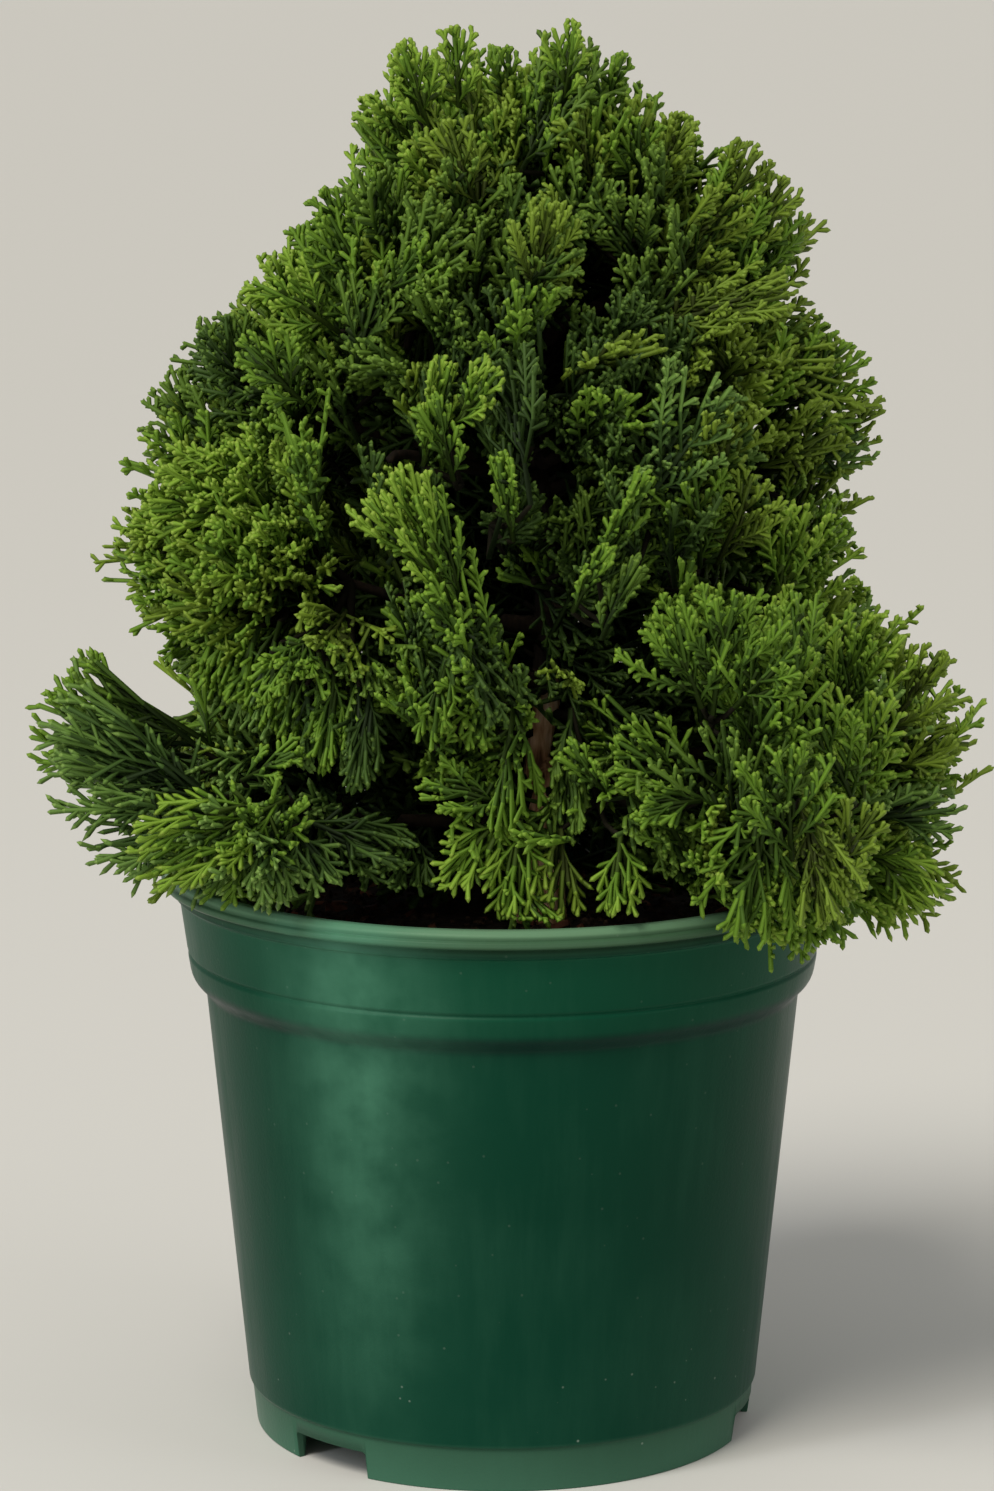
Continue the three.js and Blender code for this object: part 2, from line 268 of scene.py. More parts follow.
def makePot(p):
    top, rim, inner = p["height"], p["rim"], p["wall"]
    grooveR, grooveZ = p["groove"]
    stepR, stepZ = p["step"]
    skirtR, skirtZ = p["skirt"]
    footR, floorTop = p["foot"], skirtZ + p["wall"]
    corners = [
        (0, 0, 0), (p["channel"], 0, 0.6), (p["channel"] + 2.6, skirtZ - inner, 1.2),
        (footR - 3.4, skirtZ - inner, 1.0), (footR - inner, 0.0, 0.3), (footR, 0.0, 0.5),
        (skirtR - 0.9, skirtZ - 0.6, 0.5), (skirtR, skirtZ + 0.3, 0.4), (stepR, stepZ, 1.2),
        (p["collarFoot"][0], p["collarFoot"][1], 2.2), (grooveR - 0.1, grooveZ - 1.0, 0.5),
        (grooveR - 0.75, grooveZ, 0.3), (grooveR + 0.1, grooveZ + 1.0, 0.5),
        (p["collar"], top - 9.6, 0.8), (p["collar"] + 1.6, top - 8.8, 0.5),
        (p["collar"] + 1.3, top - 6.2, 0.6),
        (rim - 1.0, top - 5.6, 0.5), (rim, top - 4.8, 0.6), (rim - 0.1, top - 3.4, 0.4),
        (rim - 0.9, top - 2.9, 0.2), (rim - 0.8, top - 1.3, 0.7), (rim - 2.4, top, 0.8),
        (p["collar"] - 0.6, top - 0.2, 1.0), (p["collar"] - inner, top - 3, 2.0),
        (grooveR - inner, grooveZ, 2.0), (p["collarFoot"][0] - inner, p["collarFoot"][1], 2.0),
        (stepR - inner, stepZ, 2.0), (skirtR - inner - 1, floorTop, 2.0),
        (p["channel"] + 4.5, floorTop, 1.0), (p["channel"] + 1, inner + 1, 1.0), (0, inner + 1, 0),
    ]
    outline = np.array(rounded(corners))
    columns = set(np.linspace(0, 360, p["columns"], endpoint=False))  # degrees
    for middle in p["notchAngles"]:  # extra columns where a notch starts, for its corners
        for edge in (-1, 1):
            for off in (0.0, 0.12, 0.5, 1.0):
                columns.add((middle + edge * (p["notchHalf"] - off)) % 360)
    angles = np.array(sorted(columns))
    points, index = [], {}
    rows = len(outline)
    for angle in angles:
        lift = 0.0
        for middle in p["notchAngles"]:
            within = p["notchHalf"] - abs((angle - middle + 180) % 360 - 180)
            if within > p["notchSlack"]:
                corner = min(1.0, (within - p["notchSlack"]) / p["notchCorner"])
                lift = p["notchHeight"] * (0.86 + 0.14 * math.sqrt(1 - (1 - corner) ** 2))
        turn = math.radians(angle - 90)
        for r, z in outline:
            if footR - inner - 1.5 < r < footR + 2 and z < lift:  # the skirt's lower edge
                z, r = lift, r + (skirtR - footR) * 0.8 * (lift - z) / skirtZ
            points.append((r * math.cos(turn), r * math.sin(turn), z))
    points = np.array(points)
    count = len(angles)
    faces = []
    for column in range(count):
        after = (column + 1) % count
        for row in range(rows - 1):
            a, b = column * rows + row, after * rows + row
            if outline[row][0] > 0:
                faces.append((a, b, a + 1))
            if outline[row + 1][0] > 0:
                faces.append((b, b + 1, a + 1))
    faces = np.array(faces)
    # the axis points of all columns are one point at each end
    remap = np.arange(len(points))
    remap[np.arange(count) * rows] = 0
    remap[np.arange(count) * rows + rows - 1] = rows - 1
    faces = remap[faces]
    used = np.unique(faces)
    fresh = np.zeros(len(points), int)
    fresh[used] = np.arange(len(used))
    return points[used] * mm, fresh[faces][:, ::-1]


potFinish = {  # pattern sizes in mm
    "streak": 5.88,
    "cloud": 45.5,
    "mottle": 13.33,
    "speck": 6.25,
    "grain": 1.11,
    # colour of the dust haze and of the painted sheen
    "dustAndSheen": "#487C63",
    "scuff": "#A9B7A9",
    "sheenAt": 27,  # degrees from the front, towards the left, where the painted sheen lies
    "sheenNarrow": 34,  # the higher, the narrower the painted sheen
}


def potPlastic(p, f):
    # Injection-moulded polypropylene, dyed deep green: satin, a faint waxy gloss, faint upright flow marks,
    # scuffs; a painted sheen up the left of the front, and painted highlights and shade in bands by height.
    material, tree, shader = newMaterial("moulded_polypropylene_green", Roughness=0.4, IOR=1.49,
                                         Specular_IOR_Level=0.07)
    place = addNode(tree, "ShaderNodeTexCoord").outputs["Object"]
    height = addNode(tree, "ShaderNodeSeparateXYZ", {0: place}).outputs["Z"]
    share = addNode(tree, "ShaderNodeMapRange", {"Value": height, "From Min": 0.0,
                                                 "From Max": p["height"] * mm}).outputs[0]
    # base colour by height, with painted light and shade in it: the foot below the skirt painted paler, as
    # painted light coming through the thin plastic; painted shade in the crease under the collar's step; the
    # collar a little lighter than the wall below; under the lip a painted shade band over a thin painted
    # highlight line on the ledge; and painted highlight lines along the lip, palest on its top
    base = setRamp(addNode(tree, "ShaderNodeValToRGB", {0: share}), [
        (0.0, "#3C6450"), (0.072, "#325643"), (0.085, "#073929"), (0.5, "#053525"), (0.772, "#053827"),
        (0.786, "#042920"), (0.802, "#042920"), (0.815, "#073D2A"), (0.946, "#0A452F"),
        (0.951, "#0B3324"), (0.957, "#1F4430"), (0.963, "#14301E"), (0.969, "#14301E"), (0.973, "#3F5D43"),
        (0.978, "#425F47"), (0.983, "#345138"), (0.987, "#37553C"), (0.991, "#5A7B5D"), (1.0, "#5E8063")])
    stretched = addNode(tree, "ShaderNodeMapping", {"Vector": place, "Scale": (1, 1, 0.06)}).outputs[0]
    streaks = addNode(tree, "ShaderNodeTexNoise", {"Vector": stretched, "Scale": 1 / (f["streak"] * mm),
                                                   "Detail": 5, "Roughness": 0.65}).outputs[0]
    cloudy = addNode(tree, "ShaderNodeTexNoise", {"Vector": place, "Scale": 1 / (f["cloud"] * mm),
                                                  "Detail": 4}).outputs[0]
    dust = addNode(tree, "ShaderNodeMath", {0: streaks, 1: cloudy}, operation="MULTIPLY").outputs[0]
    dustAndSheen = addNode(tree, "ShaderNodeMapRange", {"Value": dust, "From Min": 0.2, "From Max": 0.42,
                                                "To Min": 0.0, "To Max": 0.06}).outputs[0]
    # a painted sheen up the left of the front, standing in for the left lamp's reflection: patchy, and fading
    # towards the foot
    sheenAt = math.radians(f["sheenAt"])
    sheenWay = (-math.sin(sheenAt), -math.cos(sheenAt), 0)
    level = addNode(tree, "ShaderNodeVectorMath", {0: place, 1: (1, 1, 0)}, operation="MULTIPLY").outputs[0]
    outward = addNode(tree, "ShaderNodeVectorMath", {0: level}, operation="NORMALIZE").outputs[0]
    facing = addNode(tree, "ShaderNodeVectorMath", {0: outward, 1: sheenWay}, operation="DOT_PRODUCT")
    front = addNode(tree, "ShaderNodeMath", {0: facing.outputs["Value"], 1: 0.0}, operation="MAXIMUM")
    band = addNode(tree, "ShaderNodeMath", {0: front.outputs[0], 1: f["sheenNarrow"]},
                   operation="POWER").outputs[0]
    upper = addNode(tree, "ShaderNodeMapRange", {"Value": height, "From Min": 20 * mm, "From Max": 150 * mm,
                                                 "To Min": 0.15, "To Max": 1.0}).outputs[0]
    mottle = addNode(tree, "ShaderNodeTexNoise", {"Vector": place, "Scale": 1 / (f["mottle"] * mm),
                                                  "Detail": 3}).outputs[0]
    patches = addNode(tree, "ShaderNodeMath", {0: cloudy, 1: mottle}, operation="ADD").outputs[0]
    sheenPatchiness = addNode(tree, "ShaderNodeMapRange", {"Value": patches, "From Min": 0.75, "From Max": 1.2,
                                                  "To Min": 0.3, "To Max": 0.72}).outputs[0]
    paintedSheen = addNode(tree, "ShaderNodeMath", {0: band, 1: upper}, operation="MULTIPLY").outputs[0]
    paintedSheen = addNode(tree, "ShaderNodeMath", {0: paintedSheen, 1: sheenPatchiness}, operation="MULTIPLY").outputs[0]
    # the painted sheen is added to the dust haze, and both take the same colour
    dustAndSheen = addNode(tree, "ShaderNodeMath", {0: dustAndSheen, 1: paintedSheen}, operation="ADD", use_clamp=True).outputs[0]
    dustyAndSheened = addNode(tree, "ShaderNodeMix", {"Factor": dustAndSheen, 6: base, 7: toLinear(f["dustAndSheen"])}, data_type="RGBA")
    # small pale scuffs, most of them near the foot
    specks = addNode(tree, "ShaderNodeTexVoronoi", {"Vector": place, "Scale": 1 / (f["speck"] * mm)})
    scuff = addNode(tree, "ShaderNodeMapRange", {"Value": specks.outputs["Distance"], "From Min": 0.075,
                                                 "From Max": 0.05, "To Min": 0.0, "To Max": 0.35}).outputs[0]
    near = addNode(tree, "ShaderNodeMapRange", {"Value": height, "From Min": 50 * mm, "From Max": 12 * mm,
                                                "To Min": 0.15, "To Max": 1.0}).outputs[0]
    worn = addNode(tree, "ShaderNodeMath", {0: scuff, 1: near}, operation="MULTIPLY").outputs[0]
    final = addNode(tree, "ShaderNodeMix", {"Factor": worn, 6: dustyAndSheened.outputs[2], 7: toLinear(f["scuff"])},
                    data_type="RGBA")
    tree.links.new(final.outputs[2], shader.inputs["Base Color"])
    rough = addNode(tree, "ShaderNodeMapRange", {"Value": dust, "From Min": 0.15, "From Max": 0.45,
                                                 "To Min": 0.3, "To Max": 0.46}).outputs[0]
    tree.links.new(rough, shader.inputs["Roughness"])
    grain = addNode(tree, "ShaderNodeTexNoise", {"Vector": place, "Scale": 1 / (f["grain"] * mm),
                                                 "Detail": 2}).outputs[0]
    both = addNode(tree, "ShaderNodeMath", {0: streaks, 1: grain}, operation="ADD").outputs[0]
    bump = addNode(tree, "ShaderNodeBump", {"Height": both, "Strength": 0.06, "Distance": 1.0 * mm})
    tree.links.new(bump.outputs[0], shader.inputs["Normal"])
    return material


potPoints, potFaces = makePot(pot)
potPiece = meshFromArrays("nursery_pot", potPoints, potFaces, [potPlastic(pot, potFinish)])
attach(potPiece, "root")
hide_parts("pot")
print("pot made,", len(potFaces), "triangles")

# potting mix
soil = {  # mm
    "flat": 58.5,  # radius of its level middle
    "top": 158.0,
    "edge": 93.2,  # radius and height where it meets the pot
    "edgeTop": 155.5,
    "below": ((88.6, 139.0), (75.2, 16.7), (56.0, 16.7), (51.0, 3.6)),  # radii and heights inside the pot
    "relief": 0.27,
    "rings": 46,
    "sectors": 120,
    "crumb": 1.25,
    "chip": 7.0,
    "crumbsInSquareMetre": 42000.0,
    "chipsInSquareMetre": 5200.0,
}


def makeSoil(s):
    # its uneven top is a sum of waves, each with a random way, start and share
    draw = np.random.default_rng(12)
    waves = [(draw.uniform(-1, 1, 2) * size, draw.uniform(0, 6.28), 1 / (i * 0.22 + 1))
             for i, size in enumerate(np.linspace(0.06, 0.75, 16))]
    turns = np.arange(s["sectors"]) / s["sectors"] * 2 * math.pi
    rows = []
    for reach in np.linspace(2.0, s["edge"], s["rings"]):
        x, y = reach * np.cos(turns), reach * np.sin(turns)
        rough = sum(np.sin(x * way[0] + y * way[1] + start) * share for way, start, share in waves)
        fade = min(1, (s["edge"] - reach) / 6)
        level = np.interp(reach, (s["flat"], s["edge"]), (s["top"], s["edgeTop"]))
        rows.append(np.column_stack([x, y, level + rough * s["relief"] * fade]))
    for reach, z in s["below"]:
        rows.append(np.column_stack([reach * np.cos(turns), reach * np.sin(turns), np.full(len(turns), z)]))
    points = np.vstack(rows + [[[0, 0, s["top"]]], [[0, 0, s["below"][-1][1]]]])
    n, a = s["sectors"], np.arange(s["sectors"])
    b = (a + 1) % n
    faces = [np.column_stack([np.full(n, len(points) - 2), a, b])]
    for i in range(len(rows) - 1):
        faces += [np.column_stack([i * n + a, (i + 1) * n + a, (i + 1) * n + b]),
                  np.column_stack([i * n + a, (i + 1) * n + b, i * n + b])]
    last = (len(rows) - 1) * n
    faces.append(np.column_stack([np.full(n, len(points) - 1), last + b, last + a]))
    return points, np.vstack(faces)


def mixMaterial(name, colours, grain, roughness, relief):  # grain and relief in mm
    material, tree, shader = newMaterial(name, Roughness=roughness, Specular_IOR_Level=0.25)
    place = addNode(tree, "ShaderNodeTexCoord").outputs["Object"]
    noise = addNode(tree, "ShaderNodeTexNoise", {"Vector": place, "Scale": 1 / (grain * mm), "Detail": 3.0})
    ramp = addNode(tree, "ShaderNodeValToRGB", {"Fac": noise.outputs["Fac"]})
    stops = [(0.3 + 0.4 * i / (len(colours) - 1), colour) for i, colour in enumerate(colours)]
    tree.links.new(setRamp(ramp, stops), shader.inputs["Base Color"])
    bump = addNode(tree, "ShaderNodeBump", {"Height": noise.outputs["Fac"], "Strength": 0.6,
                                            "Distance": relief * mm})
    tree.links.new(bump.outputs["Normal"], shader.inputs["Normal"])
    return material


# Damp peat and composted bark: nearly black between the crumbs, brown where they catch the light.
peat = mixMaterial("damp_peat_mix", ["#120D0A", "#271C15", "#3B2C22"], 3.0, 0.95, 0.8)
crumbPeat = mixMaterial("peat_crumbs", ["#1C140F", "#35271D", "#523E2E"], 2.0, 0.95, 0.4)
# Chips of pine bark: red brown with a dull cut side.
chipBark = mixMaterial("pine_bark_chips", ["#38211A", "#5E3524", "#80503A"], 4.0, 0.85, 0.3)


def crumbTree():
    tree = bpy.data.node_groups.new("potting_mix_crumbs", "GeometryNodeTree")
    sockets = tree.interface
    sockets.new_socket("Geometry", in_out="OUTPUT", socket_type="NodeSocketGeometry")
    sockets.new_socket("Ground", in_out="INPUT", socket_type="NodeSocketGeometry")
    for name in ("Crumb Density", "Crumb Size", "Chip Density", "Chip Length"):
        sockets.new_socket(name, in_out="INPUT", socket_type="NodeSocketFloat")
    given = addNode(tree, "NodeGroupInput").outputs
    normal = addNode(tree, "GeometryNodeInputNormal").outputs["Normal"]
    rise = addNode(tree, "ShaderNodeSeparateXYZ", {0: normal}).outputs["Z"]
    upward = addNode(tree, "FunctionNodeCompare", {0: rise, 1: 0.6}, data_type="FLOAT",
                     operation="GREATER_THAN").outputs[0]
    anyTurn, lyingFlat = (6.28, 6.28, 6.28), (0.5, 0.5, 6.28)

    def scatter(density, shapes, seed, size, turned):
        spots = addNode(tree, "GeometryNodeDistributePointsOnFaces",
                        {"Mesh": given["Ground"], "Selection": upward, "Density": density, "Seed": seed})
        turn = addNode(tree, "FunctionNodeRandomValue", {0: (0.0, 0.0, 0.0), 1: turned, "Seed": seed + 1},
                       data_type="FLOAT_VECTOR")
        grow = addNode(tree, "FunctionNodeRandomValue", {2: 0.45, 3: 1.25, "Seed": seed + 2},
                       data_type="FLOAT")
        scale = addNode(tree, "ShaderNodeMath", {0: grow.outputs[1], 1: size}, operation="MULTIPLY")
        parts = addNode(tree, "GeometryNodeGeometryToInstance")
        for shape in shapes:
            tree.links.new(shape, parts.inputs[0])
        strewn = addNode(tree, "GeometryNodeInstanceOnPoints",
                         {"Points": spots.outputs["Points"], "Instance": parts.outputs[0],
                          "Pick Instance": True, "Rotation": turn.outputs[0], "Scale": scale.outputs[0]})
        return addNode(tree, "GeometryNodeRealizeInstances", {0: strewn.outputs[0]}).outputs[0]

    crumbs = []  # three lumpy shapes
    for offset in (0.0, 7.0, 19.0):
        ball = addNode(tree, "GeometryNodeMeshIcoSphere", {"Radius": 1.0, "Subdivisions": 2})
        where = addNode(tree, "GeometryNodeInputPosition").outputs[0]
        noise = addNode(tree, "ShaderNodeTexNoise", {"Vector": where, "W": offset, "Scale": 0.9,
                                                     "Detail": 1.0}, noise_dimensions="4D")
        push = addNode(tree, "ShaderNodeVectorMath", {0: noise.outputs["Color"], 1: (-0.5, -0.5, -0.5)},
                       operation="ADD")
        much = addNode(tree, "ShaderNodeVectorMath", {0: push.outputs[0], "Scale": 2.2}, operation="SCALE")
        crumbs.append(addNode(tree, "GeometryNodeSetPosition", {"Geometry": ball.outputs["Mesh"],
                                                                "Offset": much.outputs[0]}).outputs[0])
    chips = [addNode(tree, "GeometryNodeMeshCube", {"Size": size}).outputs["Mesh"]
             for size in ((1.0, 0.45, 0.16), (0.8, 0.6, 0.2), (1.2, 0.35, 0.22))]
    loose = scatter(given["Crumb Density"], crumbs, 3, given["Crumb Size"], anyTurn)
    flat = scatter(given["Chip Density"], chips, 8, given["Chip Length"], lyingFlat)
    loose = addNode(tree, "GeometryNodeSetMaterial", {"Geometry": loose, "Material": crumbPeat}).outputs[0]
    flat = addNode(tree, "GeometryNodeSetMaterial", {"Geometry": flat, "Material": chipBark}).outputs[0]
    joined = addNode(tree, "GeometryNodeJoinGeometry")
    for part in (flat, loose):
        tree.links.new(part, joined.inputs[0])
    faceted = addNode(tree, "GeometryNodeSetShadeSmooth", {"Geometry": joined.outputs[0],
                                                           "Shade Smooth": False})
    everything = addNode(tree, "GeometryNodeJoinGeometry")
    for part in (faceted.outputs[0], given["Ground"]):
        tree.links.new(part, everything.inputs[0])
    addNode(tree, "NodeGroupOutput", {0: everything.outputs[0]})
    return tree


def baked(piece, tree, **values):
    # runs a node tree once with these inputs and keeps the result as a plain mesh
    modifier = piece.modifiers.new(tree.name, "NODES")
    modifier.node_group = tree
    for item in tree.interface.items_tree:
        key = item.name.replace(" ", "_")
        if item.in_out == "INPUT" and key in values:
            modifier[item.identifier] = values[key]
    plain = bpy.data.meshes.new_from_object(piece.evaluated_get(bpy.context.evaluated_depsgraph_get()))
    piece.modifiers.remove(modifier)
    piece.data = plain
    return piece


soilPoints, soilFaces = makeSoil(soil)
ground = baked(meshFromArrays("potting_mix", soilPoints * mm, soilFaces, [peat]), crumbTree(),
               Crumb_Density=soil["crumbsInSquareMetre"], Crumb_Size=soil["crumb"] * mm,
               Chip_Density=soil["chipsInSquareMetre"], Chip_Length=soil["chip"] * mm)
ground.data.name = "potting_mix"
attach(ground, "root")
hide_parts("soil")
print("potting mix made,", len(ground.data.polygons), "faces")


# where the limbs and masses are
massNames = sorted(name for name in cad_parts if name.startswith("mass_"))
boughNames = sorted(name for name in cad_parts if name.startswith("bough_"))
solids = {}
for name in massNames:
    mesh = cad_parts[name].data
    mesh.calc_loop_triangles()
    corners = np.array([t.vertices for t in mesh.loop_triangles])
    points = nodePoints(name) / mm
    a, b, c = points[corners[:, 0]], points[corners[:, 1]], points[corners[:, 2]]
    solids[name] = {
        "tree": BVHTree.FromPolygons([Vector(p) for p in points], corners.tolist()),
        "area": np.linalg.norm(np.cross(b - a, c - a), axis=1).sum() / 2,
        "middle": (points.min(0) + points.max(0)) / 2,
        "half": (points.max(0) - points.min(0)) / 2,
    }

trunkPoints = nodePoints("trunk") / mm
trunkHeights = np.unique(np.round(trunkPoints[:, 2], 1))
trunkAxis = np.array([trunkPoints[abs(trunkPoints[:, 2] - z) < 0.2].mean(0) for z in trunkHeights])


def trunkAt(z):
    return np.array([np.interp(z, trunkAxis[:, 2], trunkAxis[:, i]) for i in range(3)])


def offTrunk(points):
    # how far each point is from the middle of the trunk, on the level
    return np.array([np.hypot(*(p - trunkAt(p[2]))[:2]) for p in points])


def inside(tree, point):
    nearest, normal, _, _ = tree.find_nearest(Vector(point))
    return (Vector(point) - nearest).dot(normal) < 0


def buried(name, point):
    # whether a point is inside a mass other than this one
    return any(inside(other["tree"], point) for key, other in solids.items()
               if key != name and np.all(abs(point - other["middle"]) < other["half"] + 1))


def nearestMass(point):
    return min(massNames, key=lambda name: np.linalg.norm(solids[name]["middle"] - point))


def outwards(turn):
    return np.array([math.cos(turn), math.sin(turn), 0])


def fromFront(turn):
    # degrees between a way round the trunk and the front, which is at -90
    return abs((math.degrees(turn) + 90 + 180) % 360 - 180)


goldenTurn, goldenShare = 2.39996, 0.618034  # steps that never fall into rows

# sprays: the branching rule
# lengths in mm, angles in degrees, width and bare as shares of the spray's length
# pitch: from rib to rib; angles: of a rib at the foot and at the tip; bend: of a rib; rib: its radii
# lobe: least length, growth with the rib that is left, most length; forks: share of the lobes that fork
sprayKinds = {
    "plume": {
        "width": 0.62, "pitch": 2.7, "angles": (46, 24), "bend": 18, "bare": 0.14, "rib": (0.62, 0.92),
        "lobe": (2.9, 0.2, 4.7), "lobeRadii": (0.62, 1.0), "lobePitch": 2.7, "lobeAngle": 36, "forks": 0.4,
    },
    "fan": {
        "width": 1.15, "pitch": 2.7, "angles": (60, 14), "bend": 24, "bare": 0.2, "rib": (0.62, 0.92),
        "lobe": (2.9, 0.2, 4.9), "lobeRadii": (0.62, 1.0), "lobePitch": 2.8, "lobeAngle": 34, "forks": 0.4,
    },
    "finger": {
        "width": 0.9, "pitch": 3.3, "angles": (56, 18), "bend": 34, "bare": 0.14, "rib": (0.72, 0.98),
        "lobe": (4.4, 0.36, 8.6), "lobeRadii": (0.66, 0.98), "lobePitch": 3.7, "lobeAngle": 33, "forks": 0.1,
    },
    "inner": {
        "width": 1.0, "pitch": 4.6, "angles": (62, 30), "bend": 14, "bare": 0.2, "rib": (0.6, 1.0),
        "lobe": (4.5, 0.3, 7.0), "lobeRadii": (0.9, 1.5), "lobePitch": 7.0, "lobeAngle": 45, "forks": 0.0,
    },
}
spraySizes = (24, 32, 42)  # mm; stretched little from one of these, a spray's lobes keep their size
sprayVariants = 4  # of each kind and size
tipGap = 1.8  # least distance between two tips of one spray, in mm
endTip = 2.6  # how far before a rib's end its fork is, in mm
axisShare = 0.96  # the middle rib's length as a share of the spray's
axisRadii = (1.05, 0.95)
ribSpan = (0.08, 0.88)  # the part of the length that the ribs stand on
leastRib = 3.5  # mm


def heading(angle):
    return np.array([math.cos(angle), math.sin(angle)])


def curve(start, angle, length, bend):
    knee = start + heading(angle) * length / 2
    end = knee + heading(angle - bend) * length / 2
    return np.array([start, (start + 2 * knee + end) / 4, end])


def along(path, t):
    spot = t * (len(path) - 1)
    i = min(int(spot), len(path) - 2)
    step = path[i + 1] - path[i]
    return path[i] + step * (spot - i), math.atan2(step[1], step[0])


def growSpray(kind, length, rng):
    # stems are rows of three points, tips rows of two; outer is 0 by the axis and 1 at the spray's edge
    k = sprayKinds[kind]
    half = k["width"] * length / 2
    stems, tips, ends = [], [], []

    def room(place, angle):  # how far the spray's outline is from a place
        way = heading(angle)
        ahead = place @ way
        edge = -ahead + math.sqrt(max(ahead ** 2 - place @ place + length ** 2, 0))
        sideways = (half - math.copysign(1, way[1]) * place[1]) / max(abs(way[1]), 1e-3)
        return min(edge, max(sideways, 0))

    def addTip(start, angle, reach, outer, tilt, gap=tipGap, stem=None):
        end = start[:2] + heading(angle) * reach
        if ends and np.hypot(*(np.array(ends) - end).T).min() < gap:
            return None
        ends.append(end)
        tips.append((start, np.array([end[0], end[1], start[2] + reach * math.sin(tilt)]), outer,
                     len(stems) - 1 if stem is None else stem))
        return tips[-1][1]

    def leafyTwig(start, angle, reach, bend, outerFrom):
        # one rib with its lobes on both sides and a forked end
        path = curve(start[:2], angle, reach, bend + rng.normal(0, 0.1))
        slope = math.tan(rng.normal(0, 0.24))
        path = np.column_stack([path, start[2] + slope * np.linspace(0, reach, 3)])
        stems.append((path, *k["rib"], 0.5))
        ends.append(path[-1][:2])
        before = len(tips)
        turn = rng.choice([-1, 1])
        for at in np.arange(k["lobePitch"] * 0.7, reach - 0.6, k["lobePitch"] / 2):
            turn = -turn
            at = min(at + rng.uniform(-0.3, 0.3), reach)
            spot, way = along(path[:, :2], at / reach)
            if np.hypot(*spot) < k["bare"] * length:
                continue
            spot = np.append(spot, start[2] + slope * at)
            size = min(k["lobe"][0] + k["lobe"][1] * (reach - at), k["lobe"][2]) * rng.uniform(0.85, 1.2)
            swing = way + turn * math.radians(k["lobeAngle"] + rng.normal(0, 9))
            outer = outerFrom + (1 - outerFrom) * at / reach
            tilt = rng.normal(0, 0.45)
            end = addTip(spot, swing, size, outer, tilt)
            # of the larger lobes, some fork
            if end is not None and size > 3.4 and outer > 0.4 and rng.random() < k["forks"]:
                fork = spot + (end - spot) * rng.uniform(0.3, 0.45)
                addTip(fork, swing + turn * rng.uniform(0.5, 0.7), size * 0.55, outer, tilt, 1.4)
        spot, way = along(path[:, :2], 1)
        if kind != "inner" and rng.random() < 0.6:
            fork = path[1] + (path[2] - path[1]) * (1 - 2 * endTip / reach)
            addTip(fork, way + rng.choice([-1, 1]) * 0.5, 3.0, 1.0, rng.normal(0, 0.3), 1.3)
        if len(tips) - before < 2 and reach > 6:  # no bare ribs
            del stems[-1], tips[before:]

    axis = curve(np.zeros(2), rng.normal(0, 0.07), length * axisShare, rng.normal(0, 0.2))
    axis = np.column_stack([axis, [0, rng.normal(0, 1), rng.normal(0, 1.5)]])
    stems.append((axis, *axisRadii, 0.0))
    side = rng.choice([-1, 1])
    for s in np.arange(length * ribSpan[0], length * ribSpan[1], k["pitch"]):
        side = -side
        spot, way = along(axis, (s + rng.uniform(-0.4, 0.4)) / length / axisShare)
        lean = side * math.radians(np.interp(s / length, (0, 1), k["angles"]) + rng.normal(0, 6))
        bend = side * math.radians(k["bend"])
        reach = max(room(spot[:2], way + lean - bend / 2) * rng.uniform(0.88, 1.04), leastRib)
        leafyTwig(spot, way + lean, reach, bend, 0.0)
    spot, way = along(axis, 0.93)
    for hand in (-0.45, 0.45):
        addTip(spot, way + hand, 3.6, 1.0, 0, 1.2, stem=0)
    return {
        "lobeRadii": k["lobeRadii"],
        "stems": np.array([s[0] for s in stems]),
        "stemRadii": np.array([s[1:3] for s in stems]),
        "stemOuter": np.array([s[3] for s in stems]),
        "tips": np.array([(t[0], t[1]) for t in tips]),
        "tipOuter": np.array([t[2] for t in tips]),
        "tipStem": np.array([t[3] for t in tips]),
    }


rng = np.random.default_rng(66)
templates = {(kind, length): [growSpray(kind, length, rng) for _ in range(sprayVariants)]
             for kind in sprayKinds for length in spraySizes}
print(sum(len(group) for group in templates.values()), "sprays grown to pick from")

leafTones = {  # each hue's four tones, from the old wood out to the growing tip
    "fresh": ("#273612", "#3E581D", "#5A7A23", "#6A882A"),
    "olive": ("#2F3815", "#4A5C1E", "#667D26", "#72892F"),
    "deep": ("#222F14", "#364C1B", "#4D6722", "#607B2B"),
    "sunlit": ("#354618", "#557423", "#72912E", "#7E9737"),
    "shaded": ("#1B2613", "#283A17", "#384F1E", "#4C6526"),
    "muted": ("#24321A", "#3B5325", "#577432", "#6C883F"),
}
hues = {name: number for number, name in enumerate(leafTones)}

